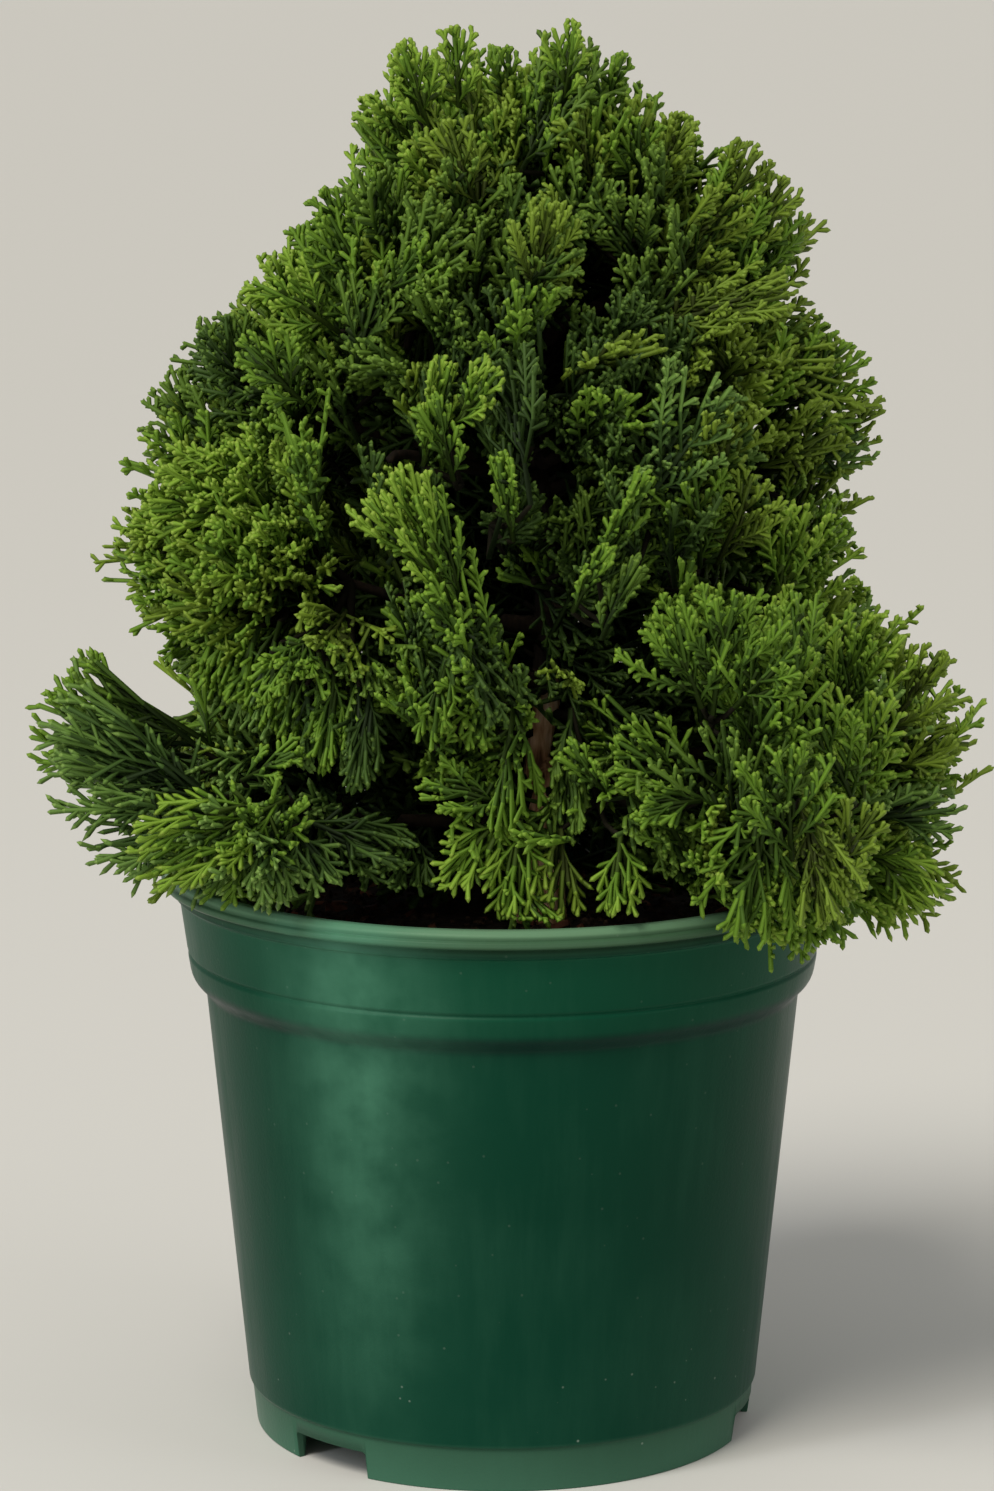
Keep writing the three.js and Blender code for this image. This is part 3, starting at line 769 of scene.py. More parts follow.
# habit of each mass
habitDefaults = {
    "kind": "plume",
    "flow": (0, 0, 0.7),  # the way its sprays grow on the whole: to the right, to the back and up
    "spread": 0.9,  # how far they part from that
    "pull": 0.45,  # where they start from: towards the trunk and down from the middle, in half sizes
    "sink": 0.5,
    "reach": 2.5,  # how far past the mass they go, in mm
    "lift": (0.2, 0.6),  # how far their ends stand up from the mass: least and most, as a sine
    "face": None,  # the way their flat sides look, where that isn't outwards
    "droop": 0.0,  # mm
    "patch": 295,  # square mm of the mass for each of them
    "hue": (0.55, 0.3, 0.15),  # shares of the hues, in the order of leafTones
}
habits = {
    "crown_left": {"reach": -0.5, "flow": (-0.15, -0.1, 1.1), "spread": 0.7, "sink": 0.8,
                   "hue": (0.4, 0.6, 0.0)},
    "crown_right": {"reach": -3, "flow": (0.15, -0.1, 1.1), "spread": 0.7, "sink": 0.8,
                    "hue": (0.4, 0.35, 0.25)},
    "crown_back": {"flow": (0, 0.3, 1.0), "sink": 0.6},
    "slope_left": {"reach": -3, "flow": (-0.5, -0.3, 0.9), "spread": 0.7, "sink": 0.8,
                   "hue": (0.7, 0.3, 0.0)},
    "slope_front": {"flow": (0.35, -0.5, 0.4), "hue": (0.2, 0.1, 0.7)},
    "slope_right": {"reach": -2, "flow": (0.7, -0.2, 0.75), "spread": 0.75, "hue": (0.4, 0.5, 0.1)},
    "slope_back_left": {"flow": (-0.4, 0.4, 0.8)},
    "slope_back_right": {"flow": (0.4, 0.4, 0.8)},
    "shoulder_left": {"reach": -1, "flow": (-0.8, -0.2, 0.55), "hue": (0.3, 0.25, 0.45)},
    "shoulder_left_front": {"flow": (-0.35, -0.45, 0.8), "hue": (0.45, 0.2, 0.35)},
    "spray_upper": {"flow": (0.15, -0.35, 1.1), "spread": 0.6, "sink": 0.9, "hue": (0.85, 0.15, 0.0)},
    "shoulder_right_front": {"flow": (0.6, -0.5, 0.35), "hue": (0.15, 0.3, 0.35, 0.0, 0.0, 0.2)},
    "shoulder_right": {"reach": -5, "flow": (0.8, -0.1, 0.5), "hue": (0.3, 0.35, 0.1, 0.0, 0.0, 0.25)},
    "shell_left": {"reach": -3, "kind": "fan", "flow": (-0.15, -0.35, 0.15), "spread": 1.3, "pull": 0.6,
                   "sink": 0.1, "patch": 240, "lift": (0.35, 0.85), "hue": (0.5, 0.3, 0.05, 0.15)},
    "heart": {"reach": -9, "kind": "fan", "flow": (0.1, -0.5, 0.7), "hue": (0.2, 0.0, 0.35, 0.0, 0.45)},
    "spray_centre": {"flow": (-0.35, -0.4, 1.0), "spread": 0.6, "sink": 0.9, "hue": (0.95, 0.05, 0.0)},
    "spray_right": {"flow": (0.6, -0.4, 0.85), "spread": 0.6, "sink": 0.8, "hue": (0.8, 0.1, 0.1)},
    "middle_right": {"reach": -1, "flow": (0.35, -0.5, 0.6), "hue": (0.4, 0.25, 0.0, 0.3, 0.0, 0.05)},
    "flank_right": {"reach": -6, "kind": "fan", "flow": (0.7, 0.4, 0.45)},
    "fan_right": {"kind": "fan", "flow": (0.0, -0.4, 1.0), "spread": 0.7, "pull": 0.1, "sink": 0.9,
                  "hue": (0.9, 0.05, 0.05), "face": (0, -1, 0.35)},
    "low_right": {"reach": -3, "kind": "fan", "flow": (0.7, -0.3, 0.6), "pull": 0.6, "droop": 1,
                  "hue": (0.3, 0.3, 0.0, 0.2, 0.0, 0.2)},
    "low_right_tip": {"reach": -3, "kind": "finger", "flow": (0.9, -0.2, -0.05), "pull": 0.8, "sink": -0.2,
                      "droop": 2, "hue": (0.3, 0.6, 0.1)},
    "low_right_front": {"reach": -6, "kind": "fan", "flow": (0.3, -0.7, 0.2), "pull": 0.6, "sink": 0.1,
                        "droop": 3, "hue": (0.35, 0.3, 0.0, 0.3, 0.0, 0.05)},
    "low_front_right": {"kind": "finger", "flow": (0.2, -0.8, -0.2), "sink": -0.3, "droop": 6,
                        "hue": (0.6, 0.2, 0.2)},
    "low_front_left": {"kind": "finger", "flow": (-0.1, -0.8, -0.3), "sink": -0.3, "droop": 6,
                       "hue": (0.6, 0.35, 0.05)},
    "low_left": {"reach": -5, "kind": "finger", "flow": (-0.6, -0.5, 0.05), "pull": 0.7, "sink": 0.0,
                 "droop": 5, "hue": (0.2, 0.1, 0.15, 0.0, 0.0, 0.55)},
    "low_left_tip": {"reach": -8, "kind": "finger", "flow": (-0.9, -0.2, 0.35), "pull": 1.1, "sink": 0.3,
                     "droop": 1, "hue": (0.25, 0.15, 0.0, 0.0, 0.0, 0.6)},
    "low_back_left": {"kind": "finger", "flow": (-0.6, 0.5, 0.0), "pull": 0.6, "sink": 0.0, "droop": 6},
    "low_back": {"kind": "finger", "flow": (0.0, 0.8, 0.0), "pull": 0.6, "sink": 0.0, "droop": 6},
    "low_back_right": {"kind": "finger", "flow": (0.6, 0.5, 0.0), "pull": 0.6, "sink": 0.0, "droop": 6},
    "inner_left": {"hue": (0.0, 0.0, 1.0), "patch": 600},
    "inner_right": {"hue": (0.0, 0.0, 1.0), "patch": 600},
    "back_left": {"kind": "fan", "flow": (-0.5, 0.5, 0.5)},
    "back_right": {"reach": -2, "kind": "fan", "flow": (0.1, 0.7, 0.5)},
}

placed = []  # every spray
sprayReach = (24, 46)  # least and most length of a spray on a mass, in mm
clearance = 6  # how far past a spray's end no other mass may be, in mm
buriedShare = 0.05  # of the sprays without that clearance, so many are placed all the same


def place(name, end, axis, face, length, kind, hue, width=1.0, droop=0.0, whole=False):
    # whole: only gaps to the sky cut it; a width below zero turns it left side right
    size = min(spraySizes, key=lambda s: abs(math.log(length / s)))
    placed.append({
        "mass": name,
        "end": end,
        "axis": axis,
        "normal": unit(face - axis * np.dot(face, axis)),
        "length": length,
        "scale": length / size,
        "template": templates[kind, size][int(rng.integers(sprayVariants))],
        "hue": hue,
        "width": width * rng.choice([-1, 1]),
        "droop": droop,
        "cup": -abs(rng.normal(0.004, 0.004)),
        "whole": whole,
        "drawn": False,
    })


def placeOnMass(name, target, way, hue=None, kind=None):
    habit, root = solids[name]["habit"], solids[name]["root"]
    axis = unit(unit(target - root) * habit["spread"] + np.array(habit["flow"]) + rng.normal(0, 0.1, 3))
    rise = np.dot(axis, way)  # sprays lie along the mass like shingles, with their ends lifted
    lift = np.clip(rise, *habit["lift"])
    axis = unit(axis - way * rise) * math.sqrt(1 - lift ** 2) + way * lift
    length = np.clip(np.linalg.norm(target - root) * 0.95, *sprayReach) * rng.uniform(0.88, 1.08)
    # most look outwards or as their habit says, the others any way
    face = way if habit["face"] is None else np.array(habit["face"])
    face = unit(face + rng.normal(0, 0.35, 3)) if rng.random() < 0.7 else unit(rng.normal(0, 1, 3))
    if hue is None:
        hue = int(rng.choice(len(habit["hue"]), p=np.array(habit["hue"]) / sum(habit["hue"])))
    place(name, target, axis, face, length, kind or habit["kind"], hue, droop=habit["droop"])


for name in massNames:
    habit = {**habitDefaults, **habits.get(name[5:], {})}
    if habit["kind"] == "finger":  # fingers go more freely
        habit["lift"] = (0.1, 0.9)
    solid = solids[name]
    middle, half = solid["middle"], solid["half"]
    inward = trunkAt(min(max(middle[2] - 15, 165), 400)) - middle
    inward[2] = 0
    root = middle + unit(inward) * min(half[:2].mean() * habit["pull"], np.linalg.norm(inward))
    root[2] -= half[2] * habit["sink"]
    solid["root"], solid["habit"] = root, habit
    count = max(8, int(round(solid["area"] / habit["patch"])))
    turn = rng.uniform(0, 2 * math.pi)
    for i in range(count):
        z = 1 - 2 * (i + 0.5) / count
        ring = math.sqrt(1 - z * z)
        way = outwards(turn + i * goldenTurn) * ring + np.array([0, 0, z])
        way = unit(way + rng.normal(0, 0.13, 3))
        hit = solid["tree"].ray_cast(Vector(middle), Vector(way))[0]
        if hit is None:
            continue
        target = np.array(hit)
        if buried(name, target + way * clearance):
            if rng.random() < buriedShare:
                placeOnMass(name, target, way, hues["deep"])
            continue
        towards = way @ unit(habit["flow"])  # few sprays on the side that the others turn their backs to
        if rng.random() < np.clip(0.75 + 1.0 * towards, 0.2, 1):
            placeOnMass(name, target + way * habit["reach"], way)
print(len(placed), "sprays on the masses")

# sprays in the valleys between neighbouring masses
heart = np.array([0, 0, 270.0])  # the valleys open away from here
valley = {
    "near": 1.12,  # share of both half sizes that neighbours are apart at the most
    "turns": (-0.7, 0, 0.7),
    "search": (2, 34, 3),  # mm outwards: from, to and step
    "clear": 5,
    "depth": 7,  # how far inside the first free place a spray ends
    "depthAtBack": 1,
}
for i, name in enumerate(massNames):
    for other in massNames[i + 1:]:
        a, b = solids[name], solids[other]
        link = b["middle"] - a["middle"]
        gap = np.linalg.norm(link)
        reachA, reachB = a["half"].mean(), b["half"].mean()
        if gap > (reachA + reachB) * valley["near"]:  # not neighbours
            continue
        line = link / gap
        between = a["middle"] + link * reachA / (reachA + reachB)
        outward = between - heart
        outward = unit(outward - line * np.dot(outward, line))
        crosswise = np.cross(line, outward)
        for turn in valley["turns"]:
            turn += rng.uniform(-0.2, 0.2)
            way = outward * math.cos(turn) + crosswise * math.sin(turn)
            steps = [between + way * step for step in np.arange(*valley["search"])]
            free = [p for p in steps if not buried("", p)]
            if free and not buried("", free[0] + way * valley["clear"]):
                depth = valley["depth" if way[1] < 0.2 else "depthAtBack"]
                owner = name if rng.random() < 0.5 else other
                placeOnMass(owner, free[0] - way * depth, way, hues["deep"], "plume")
print(len(placed), "sprays with the valleys")

# dark inner sprays on the trunk, so that nothing shows through from one side to the other
inner = {"from": 176, "to": 392, "count": 190, "start": 7, "clearFront": 38, "clearBelow": 224,
         "lengths": ((176, 38), (230, 52), (330, 42), (392, 24))}  # heights and lengths
for i in range(inner["count"]):
    z = inner["from"] + (inner["to"] - inner["from"]) * (i + 0.5) / inner["count"]
    way = outwards(i * goldenTurn)
    if z < inner["clearBelow"] and fromFront(i * goldenTurn) < inner["clearFront"]:
        continue
    axis = unit(way + np.array([0, 0, rng.uniform(-0.1, 0.6)]))
    length = np.interp(z, *zip(*inner["lengths"])) * rng.uniform(0.8, 1.15)
    start = trunkAt(z) + way * inner["start"]
    place(nearestMass(start + axis * 30), start + axis * length, axis, rng.normal(0, 1, 3), length, "inner",
          hues["shaded"])

# a low curtain of them behind the lowest boughs, open to the front
curtain = {"count": 70, "from": -100, "turn": 380, "z": 180, "up": (-14, 30), "out": (16, 34),
           "lengths": (32, 46)}
for i in range(curtain["count"]):
    turn = math.radians(curtain["from"] + curtain["turn"] * (i + 0.5) / curtain["count"])
    if fromFront(turn) < inner["clearFront"]:
        continue
    way = outwards(turn)
    start = trunkAt(curtain["z"]) + way * rng.uniform(*curtain["out"])
    start[2] += rng.uniform(*curtain["up"])
    axis = unit(way + np.array([0, 0, rng.uniform(-0.15, 0.5)]))
    length = rng.uniform(*curtain["lengths"])
    place(nearestMass(start + axis * 30), start + axis * length, axis, rng.normal(0, 1, 3), length, "inner",
          hues["deep"])

# and a loose screen of them inside the back of the crown
screen = {"count": 90, "from": -25, "turn": 230, "low": 184, "high": 364, "length": 42,
          "radii": ((184, 52), (230, 56), (300, 46), (364, 26))}  # heights and radii
for i in range(screen["count"]):
    z = screen["low"] + (screen["high"] - screen["low"]) * ((i * goldenShare) % 1)
    way = outwards(math.radians(screen["from"] + screen["turn"] * (i + 0.5) / screen["count"]))
    middle = trunkAt(z) + way * np.interp(z, *zip(*screen["radii"]))
    middle[2] = z
    axis = unit(np.cross(way, [0, 0, 1]) * rng.choice([-1, 1]) + np.array([0, 0, rng.uniform(0.2, 1)]))
    place(nearestMass(middle), middle + axis * screen["length"] / 2, axis, way + rng.normal(0, 0.3, 3),
          screen["length"], "inner", hues["deep"])
for spot in ((-44, 30, 186), (-40, 48, 184), (-52, 12, 190), (-30, 40, 182)):  # low at the back left
    axis = unit([rng.uniform(-0.6, 0.6), 0.2, 0.5])
    place("mass_low_back_left", np.array(spot) + axis * 40, axis, rng.normal(0, 1, 3), 40, "inner",
          hues["deep"])

# the leading sprays, which stand proud of the rest: start and end in mm, kind, width and hue
leading = [
    (18, -26, 412, 19, -29, 436, "plume", 0.8, "fresh"),
    (-13, -23, 412, -13, -26, 435, "plume", 0.8, "olive"),
    (-25, -22, 407, -29, -25, 428, "plume", 0.8, "olive"),
    (-22, -24, 408, -27, -27, 434, "plume", 0.8, "sunlit"),
    (29, -25, 409, 33, -17, 428, "plume", 0.8, "fresh"),
    (1, -19, 407, -1, -8, 426, "plume", 0.8, "fresh"),
    (-31, -18, 401, -46, -21, 411, "plume", 0.6, "olive"),
    (50, -22, 393, 60, -9, 406, "plume", 0.6, "deep"),
    (66, -35, 376, 81, -20, 396, "plume", 0.8, "olive"),
    (72, -33, 368, 88, -18, 386, "plume", 0.8, "olive"),
    (-8, -52, 384, -18, -37, 404, "plume", 1, "olive"),
    (5, -13, 385, -1, -25, 409, "plume", 1, "fresh"),
    (26, -28, 386, 21, -34, 409, "plume", 1, "olive"),
    (41, -20, 382, 36, -27, 406, "plume", 1, "fresh"),
    (-45, -40, 365, -54, -25, 385, "plume", 0.9, "fresh"),
    (-35, -40, 351, -51, -36, 379, "plume", 1, "fresh"),
    (-48, -42, 345, -71, -45, 364, "plume", 1, "olive"),
    (-40, -44, 349, -20, -66, 371, "plume", 0.6, "fresh"),
    (-30, -39, 369, -36, -24, 390, "plume", 0.9, "fresh"),
    (8, -72, 357, 12, -57, 383, "fan", 0.7, "olive"),
    (5, -72, 360, 22, -57, 370, "fan", 0.7, "deep"),
    (36, 17, 349, 59, -16, 377, "plume", 1, "olive"),
    (39, 16, 346, 77, -17, 367, "plume", 1, "olive"),
    (43, -62, 350, 84, -47, 358, "plume", 0.8, "olive"),
    (-78, -30, 325, -98, -19, 339, "plume", 1, "deep"),
    (-81, -31, 324, -86, -16, 347, "plume", 0.9, "deep"),
    (-58, -75, 328, -73, -60, 346, "plume", 1, "fresh"),
    (-15, -101, 273, -31, -86, 309, "plume", 0.6, "fresh"),
    (-12, -101, 274, -21, -86, 304, "plume", 0.5, "fresh"),
    (-18, -100, 278, -39, -85, 300, "plume", 0.5, "fresh"),
    (1, -85, 242, -16, -99, 283, "plume", 0.8, "fresh"),
    (-18, -101, 274, 6, -86, 238, "plume", 0.8, "fresh"),
    (-16, -98, 256, -22, -89, 232, "finger", 0.6, "fresh"),
    (-7, -95, 250, -7, -80, 228, "finger", 0.6, "fresh"),
    (-23, -78, 310, -16, -64, 338, "plume", 0.5, "fresh"),
    (-15, -86, 322, -3, -77, 339, "plume", 0.9, "fresh"),
    (-14, -82, 306, -21, -79, 329, "plume", 0.7, "fresh"),
    (20, -92, 269, 31, -97, 289, "plume", 0.45, "fresh"),
    (27, -96, 283, 42, -81, 307, "plume", 0.5, "fresh"),
    (3, -80, 288, -1, -89, 314, "plume", 0.4, "fresh"),
    (28, -91, 261, 39, -95, 285, "plume", 0.5, "deep"),
    (60, -108, 242, 63, -99, 277, "fan", 1, "fresh"),
    (57, -108, 244, 42, -100, 269, "fan", 0.8, "fresh"),
    (66, -107, 244, 82, -100, 262, "fan", 0.8, "fresh"),
    (58, -61, 278, 54, -74, 308, "plume", 1, "fresh"),
    (63, -64, 279, 77, -60, 303, "plume", 1, "olive"),
    (106, -58, 227, 120, -43, 262, "fan", 0.7, "olive"),
    (112, -57, 224, 132, -42, 249, "fan", 0.7, "olive"),
    (115, -53, 217, 137, -38, 224, "finger", 0.7, "olive"),
    (103, -57, 230, 103, -45, 256, "plume", 0.9, "fresh"),
    (102, -99, 214, 87, -84, 240, "plume", 1, "fresh"),
    (105, -87, 212, 105, -72, 243, "plume", 1, "fresh"),
    (77, -106, 218, 72, -100, 175, "finger", 0.8, "fresh"),
    (85, -106, 217, 95, -103, 180, "fan", 0.6, "olive"),
    (83, -114, 201, 76, -99, 232, "fan", 0.8, "fresh"),
    (96, -108, 194, 105, -93, 214, "plume", 0.9, "olive"),
    (1, -93, 213, -23, -89, 218, "fan", 0.7, "fresh"),
    (1, -93, 211, -15, -93, 189, "finger", 0.7, "fresh"),
    (5, -91, 208, 4, -94, 181, "finger", 0.7, "olive"),
    (17, -88, 205, 19, -91, 180, "finger", 0.6, "olive"),
    (34, -98, 205, 34, -94, 182, "finger", 0.7, "fresh"),
    (31, -94, 215, 18, -79, 228, "plume", 0.6, "fresh"),
    (57, -93, 217, 32, -78, 231, "finger", 0.8, "fresh"),
    (57, -96, 215, 39, -100, 216, "finger", 0.8, "fresh"),
    (-76, -87, 206, -123, -72, 248, "finger", 0.8, "muted"),
    (-96, -65, 224, -137, -68, 251, "finger", 0.8, "fresh"),
    (-90, -70, 226, -124, -70, 250, "finger", 0.8, "deep"),
    (108, -60, 192, 130, -62, 180, "finger", 0.7, "sunlit"),
    (110, -58, 202, 135, -52, 202, "finger", 0.7, "olive"),
    (88, -84, 186, 94, -96, 164, "finger", 0.8, "fresh"),
    (-68, -78, 198, -74, -101, 214, "fan", 0.8, "fresh"),
    (-68, -78, 198, -58, -100, 206, "finger", 0.8, "fresh"),
    (-70, -76, 200, -88, -98, 208, "finger", 0.7, "muted"),
    (-66, -80, 200, -68, -106, 200, "finger", 0.7, "muted"),
    (22, -80, 200, 4, -94, 206, "finger", 0.6, "fresh"),
    (-30, -60, 205, -44, -84, 196, "finger", 0.8, "shaded"),
    (-24, -62, 200, -33, -86, 188, "finger", 0.8, "deep"),
    (-46, -58, 264, -50, -90, 254, "fan", 0.8, "olive"),
    (-54, -56, 260, -62, -90, 248, "fan", 0.8, "fresh"),
    (-40, -60, 256, -36, -90, 246, "fan", 0.7, "deep"),
    (2, -84, 190, 14, -97, 176, "finger", 0.7, "fresh"),
    (3, -84, 242, 2, -90, 204, "finger", 0.35, "fresh"),
    (68, -88, 204, 60, -98, 238, "fan", 0.7, "deep"),
    (72, -94, 208, 86, -100, 234, "fan", 0.6, "deep"),
    (52, -88, 200, 40, -96, 218, "fan", 0.7, "fresh"),
    (20, -74, 238, 18.5, -84, 202, "finger", 0.35, "deep"),
    (-92, -66, 226, -120, -60, 226, "finger", 0.7, "muted"),
    (10, -40, 268, 26, -58, 256, "fan", 0.9, "shaded"),
    (12, -34, 250, 32, -54, 236, "fan", 0.9, "shaded"),
    (24, -36, 236, 46, -56, 226, "fan", 0.9, "shaded"),
    (0, -40, 262, -12, -58, 250, "fan", 0.9, "shaded"),
    (84, -10, 268, 98, -18, 292, "fan", 0.8, "fresh"),
    (86, -6, 276, 100, -8, 304, "fan", 0.8, "olive"),
    (-94, -72, 219, -141, -60, 235, "finger", 0.8, "fresh"),
    (-88, -84, 213, -137, -69, 219, "finger", 0.8, "muted"),
    (-82, -88, 207, -130, -73, 202, "finger", 0.7, "muted"),
    (-76, -90, 205, -119, -93, 187, "finger", 0.7, "fresh"),
    (-84, -86, 214, -128, -70, 232, "finger", 0.6, "muted"),
    (-73, -90, 205, -84, -75, 182, "finger", 0.8, "fresh"),
    (-67, -89, 205, -67, -92, 184, "finger", 0.8, "muted"),
    (-61, -87, 205, -50, -90, 189, "finger", 0.8, "muted"),
    (-58, -83, 207, -27, -92, 200, "finger", 0.6, "muted"),
    (-76, -86, 219, -59, -78, 228, "plume", 0.8, "fresh"),
    (-84, -16, 287, -107, -22, 314, "fan", 0.9, "fresh"),
    (-82, -24, 280, -105, -30, 298, "fan", 0.9, "deep"),
    (-80, 0, 294, -101, 4, 322, "fan", 0.9, "deep"),
    (86, -12, 314, 106, -16, 342, "fan", 1, "fresh"),
    (88, 2, 316, 110, 6, 334, "fan", 1, "olive"),
    (52, -24, 386, 64, -22, 409, "plume", 0.7, "olive"),
]
leastForward = 6  # mm; an end stands at least this far before its start
frontSlope = 0.18  # the front is seen from so far above
for x0, y0, z0, x1, y1, z1, kind, width, hue in leading:
    if y0 < y1 + leastForward:
        # turned about its middle, it still looks the same from the front
        half = (y1 - y0 + leastForward) / 2
        y0, y1, z0, z1 = y0 + half, y1 - half, z0 - frontSlope * half, z1 + frontSlope * half
    start, end = np.array([x0, y0, z0], float), np.array([x1, y1, z1], float)
    face = np.array([rng.normal(0, 0.3), -1, rng.normal(0.3, 0.3)])
    place(nearestMass((start + end) / 2), end, unit(end - start), face, np.linalg.norm(end - start), kind,
          hues[hue], width=width, droop=1.0 if kind == "finger" else 0.0, whole=True)

# a dark layer behind them, so that none stands off from the crown
layer = {"count": 64, "left": -44, "right": 52, "low": 236, "high": 386, "length": 30, "darkestBelow": 345,
         "depths": ((236, -84), (290, -76), (330, -64), (360, -52), (396, -34))}  # heights and y
for i in range(layer["count"]):
    x = layer["left"] + (layer["right"] - layer["left"]) * ((i * goldenShare) % 1)
    z = layer["low"] + (layer["high"] - layer["low"]) * (i + 0.5) / layer["count"]
    y = np.interp(z, *zip(*layer["depths"])) + 0.004 * (x - 4) ** 2
    axis = unit([rng.normal(0, 0.35), rng.normal(-0.25, 0.2), 1])
    end = np.array([x, y, z]) + axis * layer["length"] / 2
    place(nearestMass(end), end, axis, rng.normal(0, 1, 3), layer["length"], "plume",
          hues["shaded" if z < layer["darkestBelow"] else "deep"])


def placeRuns(name, face, kind, runs, **more):
    for start, end in runs:
        run = np.subtract(end, start).astype(float)
        place(name, np.array(end, float), unit(run), np.array(face), np.linalg.norm(run), kind, hues["deep"],
              **more)


# a few low on the left side, out to the rim, and two behind a hole through the crown: start and end
placeRuns("mass_low_back_left", (-0.3, 0, 1), "finger", (
    ((-56, -18, 204), (-98, -24, 188)), ((-54, -6, 198), (-97, -4, 186)), ((-58, 8, 202), (-99, 12, 190)),
    ((-56, -28, 206), (-95, -42, 190)), ((-62, -10, 216), (-106, -14, 206)),
    ((-44, -14, 190), (-82, -22, 178)), ((-44, 2, 190), (-82, 4, 178))), width=0.9, droop=4)
placeRuns("mass_slope_back_left", (0, -1, 0.2), "fan", (
    ((-62, 26, 290), (-24, 28, 312)), ((-58, 34, 310), (-30, 30, 284))))

# and dark ones behind the left shell, where a line of sight from the right would leave the crown
backing = {"count": 14, "corner": (-44, -22, 212), "size": (-26, 44, 44), "length": 38}
for i in range(backing["count"]):
    share = np.array([(i * goldenShare) % 1, (i + 0.5) / backing["count"], (i * (1 - goldenShare)) % 1])
    start = np.array(backing["corner"]) + np.array(backing["size"]) * share
    axis = unit([-0.5, rng.uniform(-0.6, 0.6), rng.uniform(0.1, 0.9)])
    place(nearestMass(start + axis * 20), start + axis * backing["length"], axis, rng.normal(0, 1, 3),
          backing["length"], "inner", hues["deep"])

# fingers that hang in a row: the line they start on, their count, drop, how far they stand out, and hue
fringes = [
    ((-86, -42, 266), (-38, -84, 245), 15, 23, 9, "fresh"),
    ((-86, -44, 258), (-44, -76, 242), 12, 20, 5, "muted"),
]
for first, last, count, drop, out, hue in fringes:
    for t in np.linspace(0, 1, count):
        start = np.array(first) + (np.array(last) - np.array(first)) * t + rng.normal(0, 1.5, 3)
        outward = unit(start * np.array([0.7, 1, 0]))
        end = start + outward * out + np.array([rng.normal(0, 3), 0, -drop * rng.uniform(0.85, 1.15)])
        place("mass_shell_left", end, unit(end - start), outward + rng.normal(0, 0.25, 3),
              np.linalg.norm(end - start), "finger", hues[hue], width=0.4, droop=1.0, whole=True)


crownFront = -60  # y
shrinkage = 0.0007  # how much smaller things look for each mm that they are further back


def seenFromFront(points):
    # x and z as they appear from the front, measured where the crown's front is
    depth = points[..., 1] - crownFront
    return points[..., 0] * (1 - depth * shrinkage), points[..., 2] + depth * frontSlope


# where the front is lighter or darker than round about: x, z, radius and hue
accents = [
    (-78, 304, 13, "sunlit"), (-92, 298, 9, "sunlit"), (-62, 280, 8, "sunlit"), (-23, 274, 9, "sunlit"),
    (-62, 357, 7, "sunlit"), (-22, 397, 5, "sunlit"), (-1, 398, 5, "sunlit"),
    (-30, 292, 8, "sunlit"), (73, 262, 8, "sunlit"), (110, 256, 10, "sunlit"),
    (111, 184, 12, "sunlit"), (129, 176, 9, "sunlit"), (124, 200, 11, "muted"), (-2, 180, 9, "sunlit"),
    (34, 179, 8, "sunlit"), (-23, 200, 8, "sunlit"), (-11, 193, 8, "sunlit"), (50, 405, 7, "sunlit"),
    (-107, 194, 7, "sunlit"), (101, 230, 7, "sunlit"), (-13, 330, 7, "sunlit"), (84, 366, 8, "sunlit"),
    (14, 318, 15, "shaded"), (-10, 304, 7, "shaded"), (-8, 284, 7, "shaded"), (16, 296, 14, "shaded"),
    (-44, 300, 8, "shaded"), (3, 250, 9, "shaded"), (28, 244, 8, "shaded"), (45, 240, 8, "shaded"),
    (-80, 340, 6, "shaded"), (40, 350, 8, "shaded"), (-88, 334, 8, "shaded"),
    (-38, 215, 12, "shaded"), (-36, 195, 10, "shaded"),
]

# what the sprays keep off: the rim, between these radii and below this height, and the soil within it
rim = {"top": pot["height"] + 2.2, "inner": pot["collar"] - 5.5, "outer": pot["rim"] + 2.6,
       "soil": soil["top"] + 3}


def clearPot(points):
    # nothing goes into the pot's wall or the soil: it lies on them
    reach = np.hypot(points[..., 0], points[..., 1])
    over = (reach > rim["inner"]) & (reach < rim["outer"]) & (points[..., 2] < rim["top"])
    points[..., 2] = np.where(over, rim["top"], points[..., 2])
    under = (reach <= rim["inner"]) & (points[..., 2] < rim["soil"])
    points[..., 2] = np.where(under, rim["soil"], points[..., 2])
    return points


def toWorld(spray, local):
    # local is along the spray, across it and off its plane; it is cupped across and droops to its end
    axis, normal = spray["axis"], spray["normal"]
    across = np.cross(normal, axis)
    local = local * spray["scale"] * np.array([1, spray["width"], 1])
    length = spray["length"]
    offPlane = local[..., 2] + spray["cup"] * (local[..., 1] ** 2)
    points = (spray["end"] - axis * length + local[..., :1] * axis + local[..., 1:2] * across
              + offPlane[..., None] * normal)
    points[..., 2] -= spray["droop"] * (np.clip(local[..., 0] / length, 0, 1) ** 2)
    return clearPot(points)


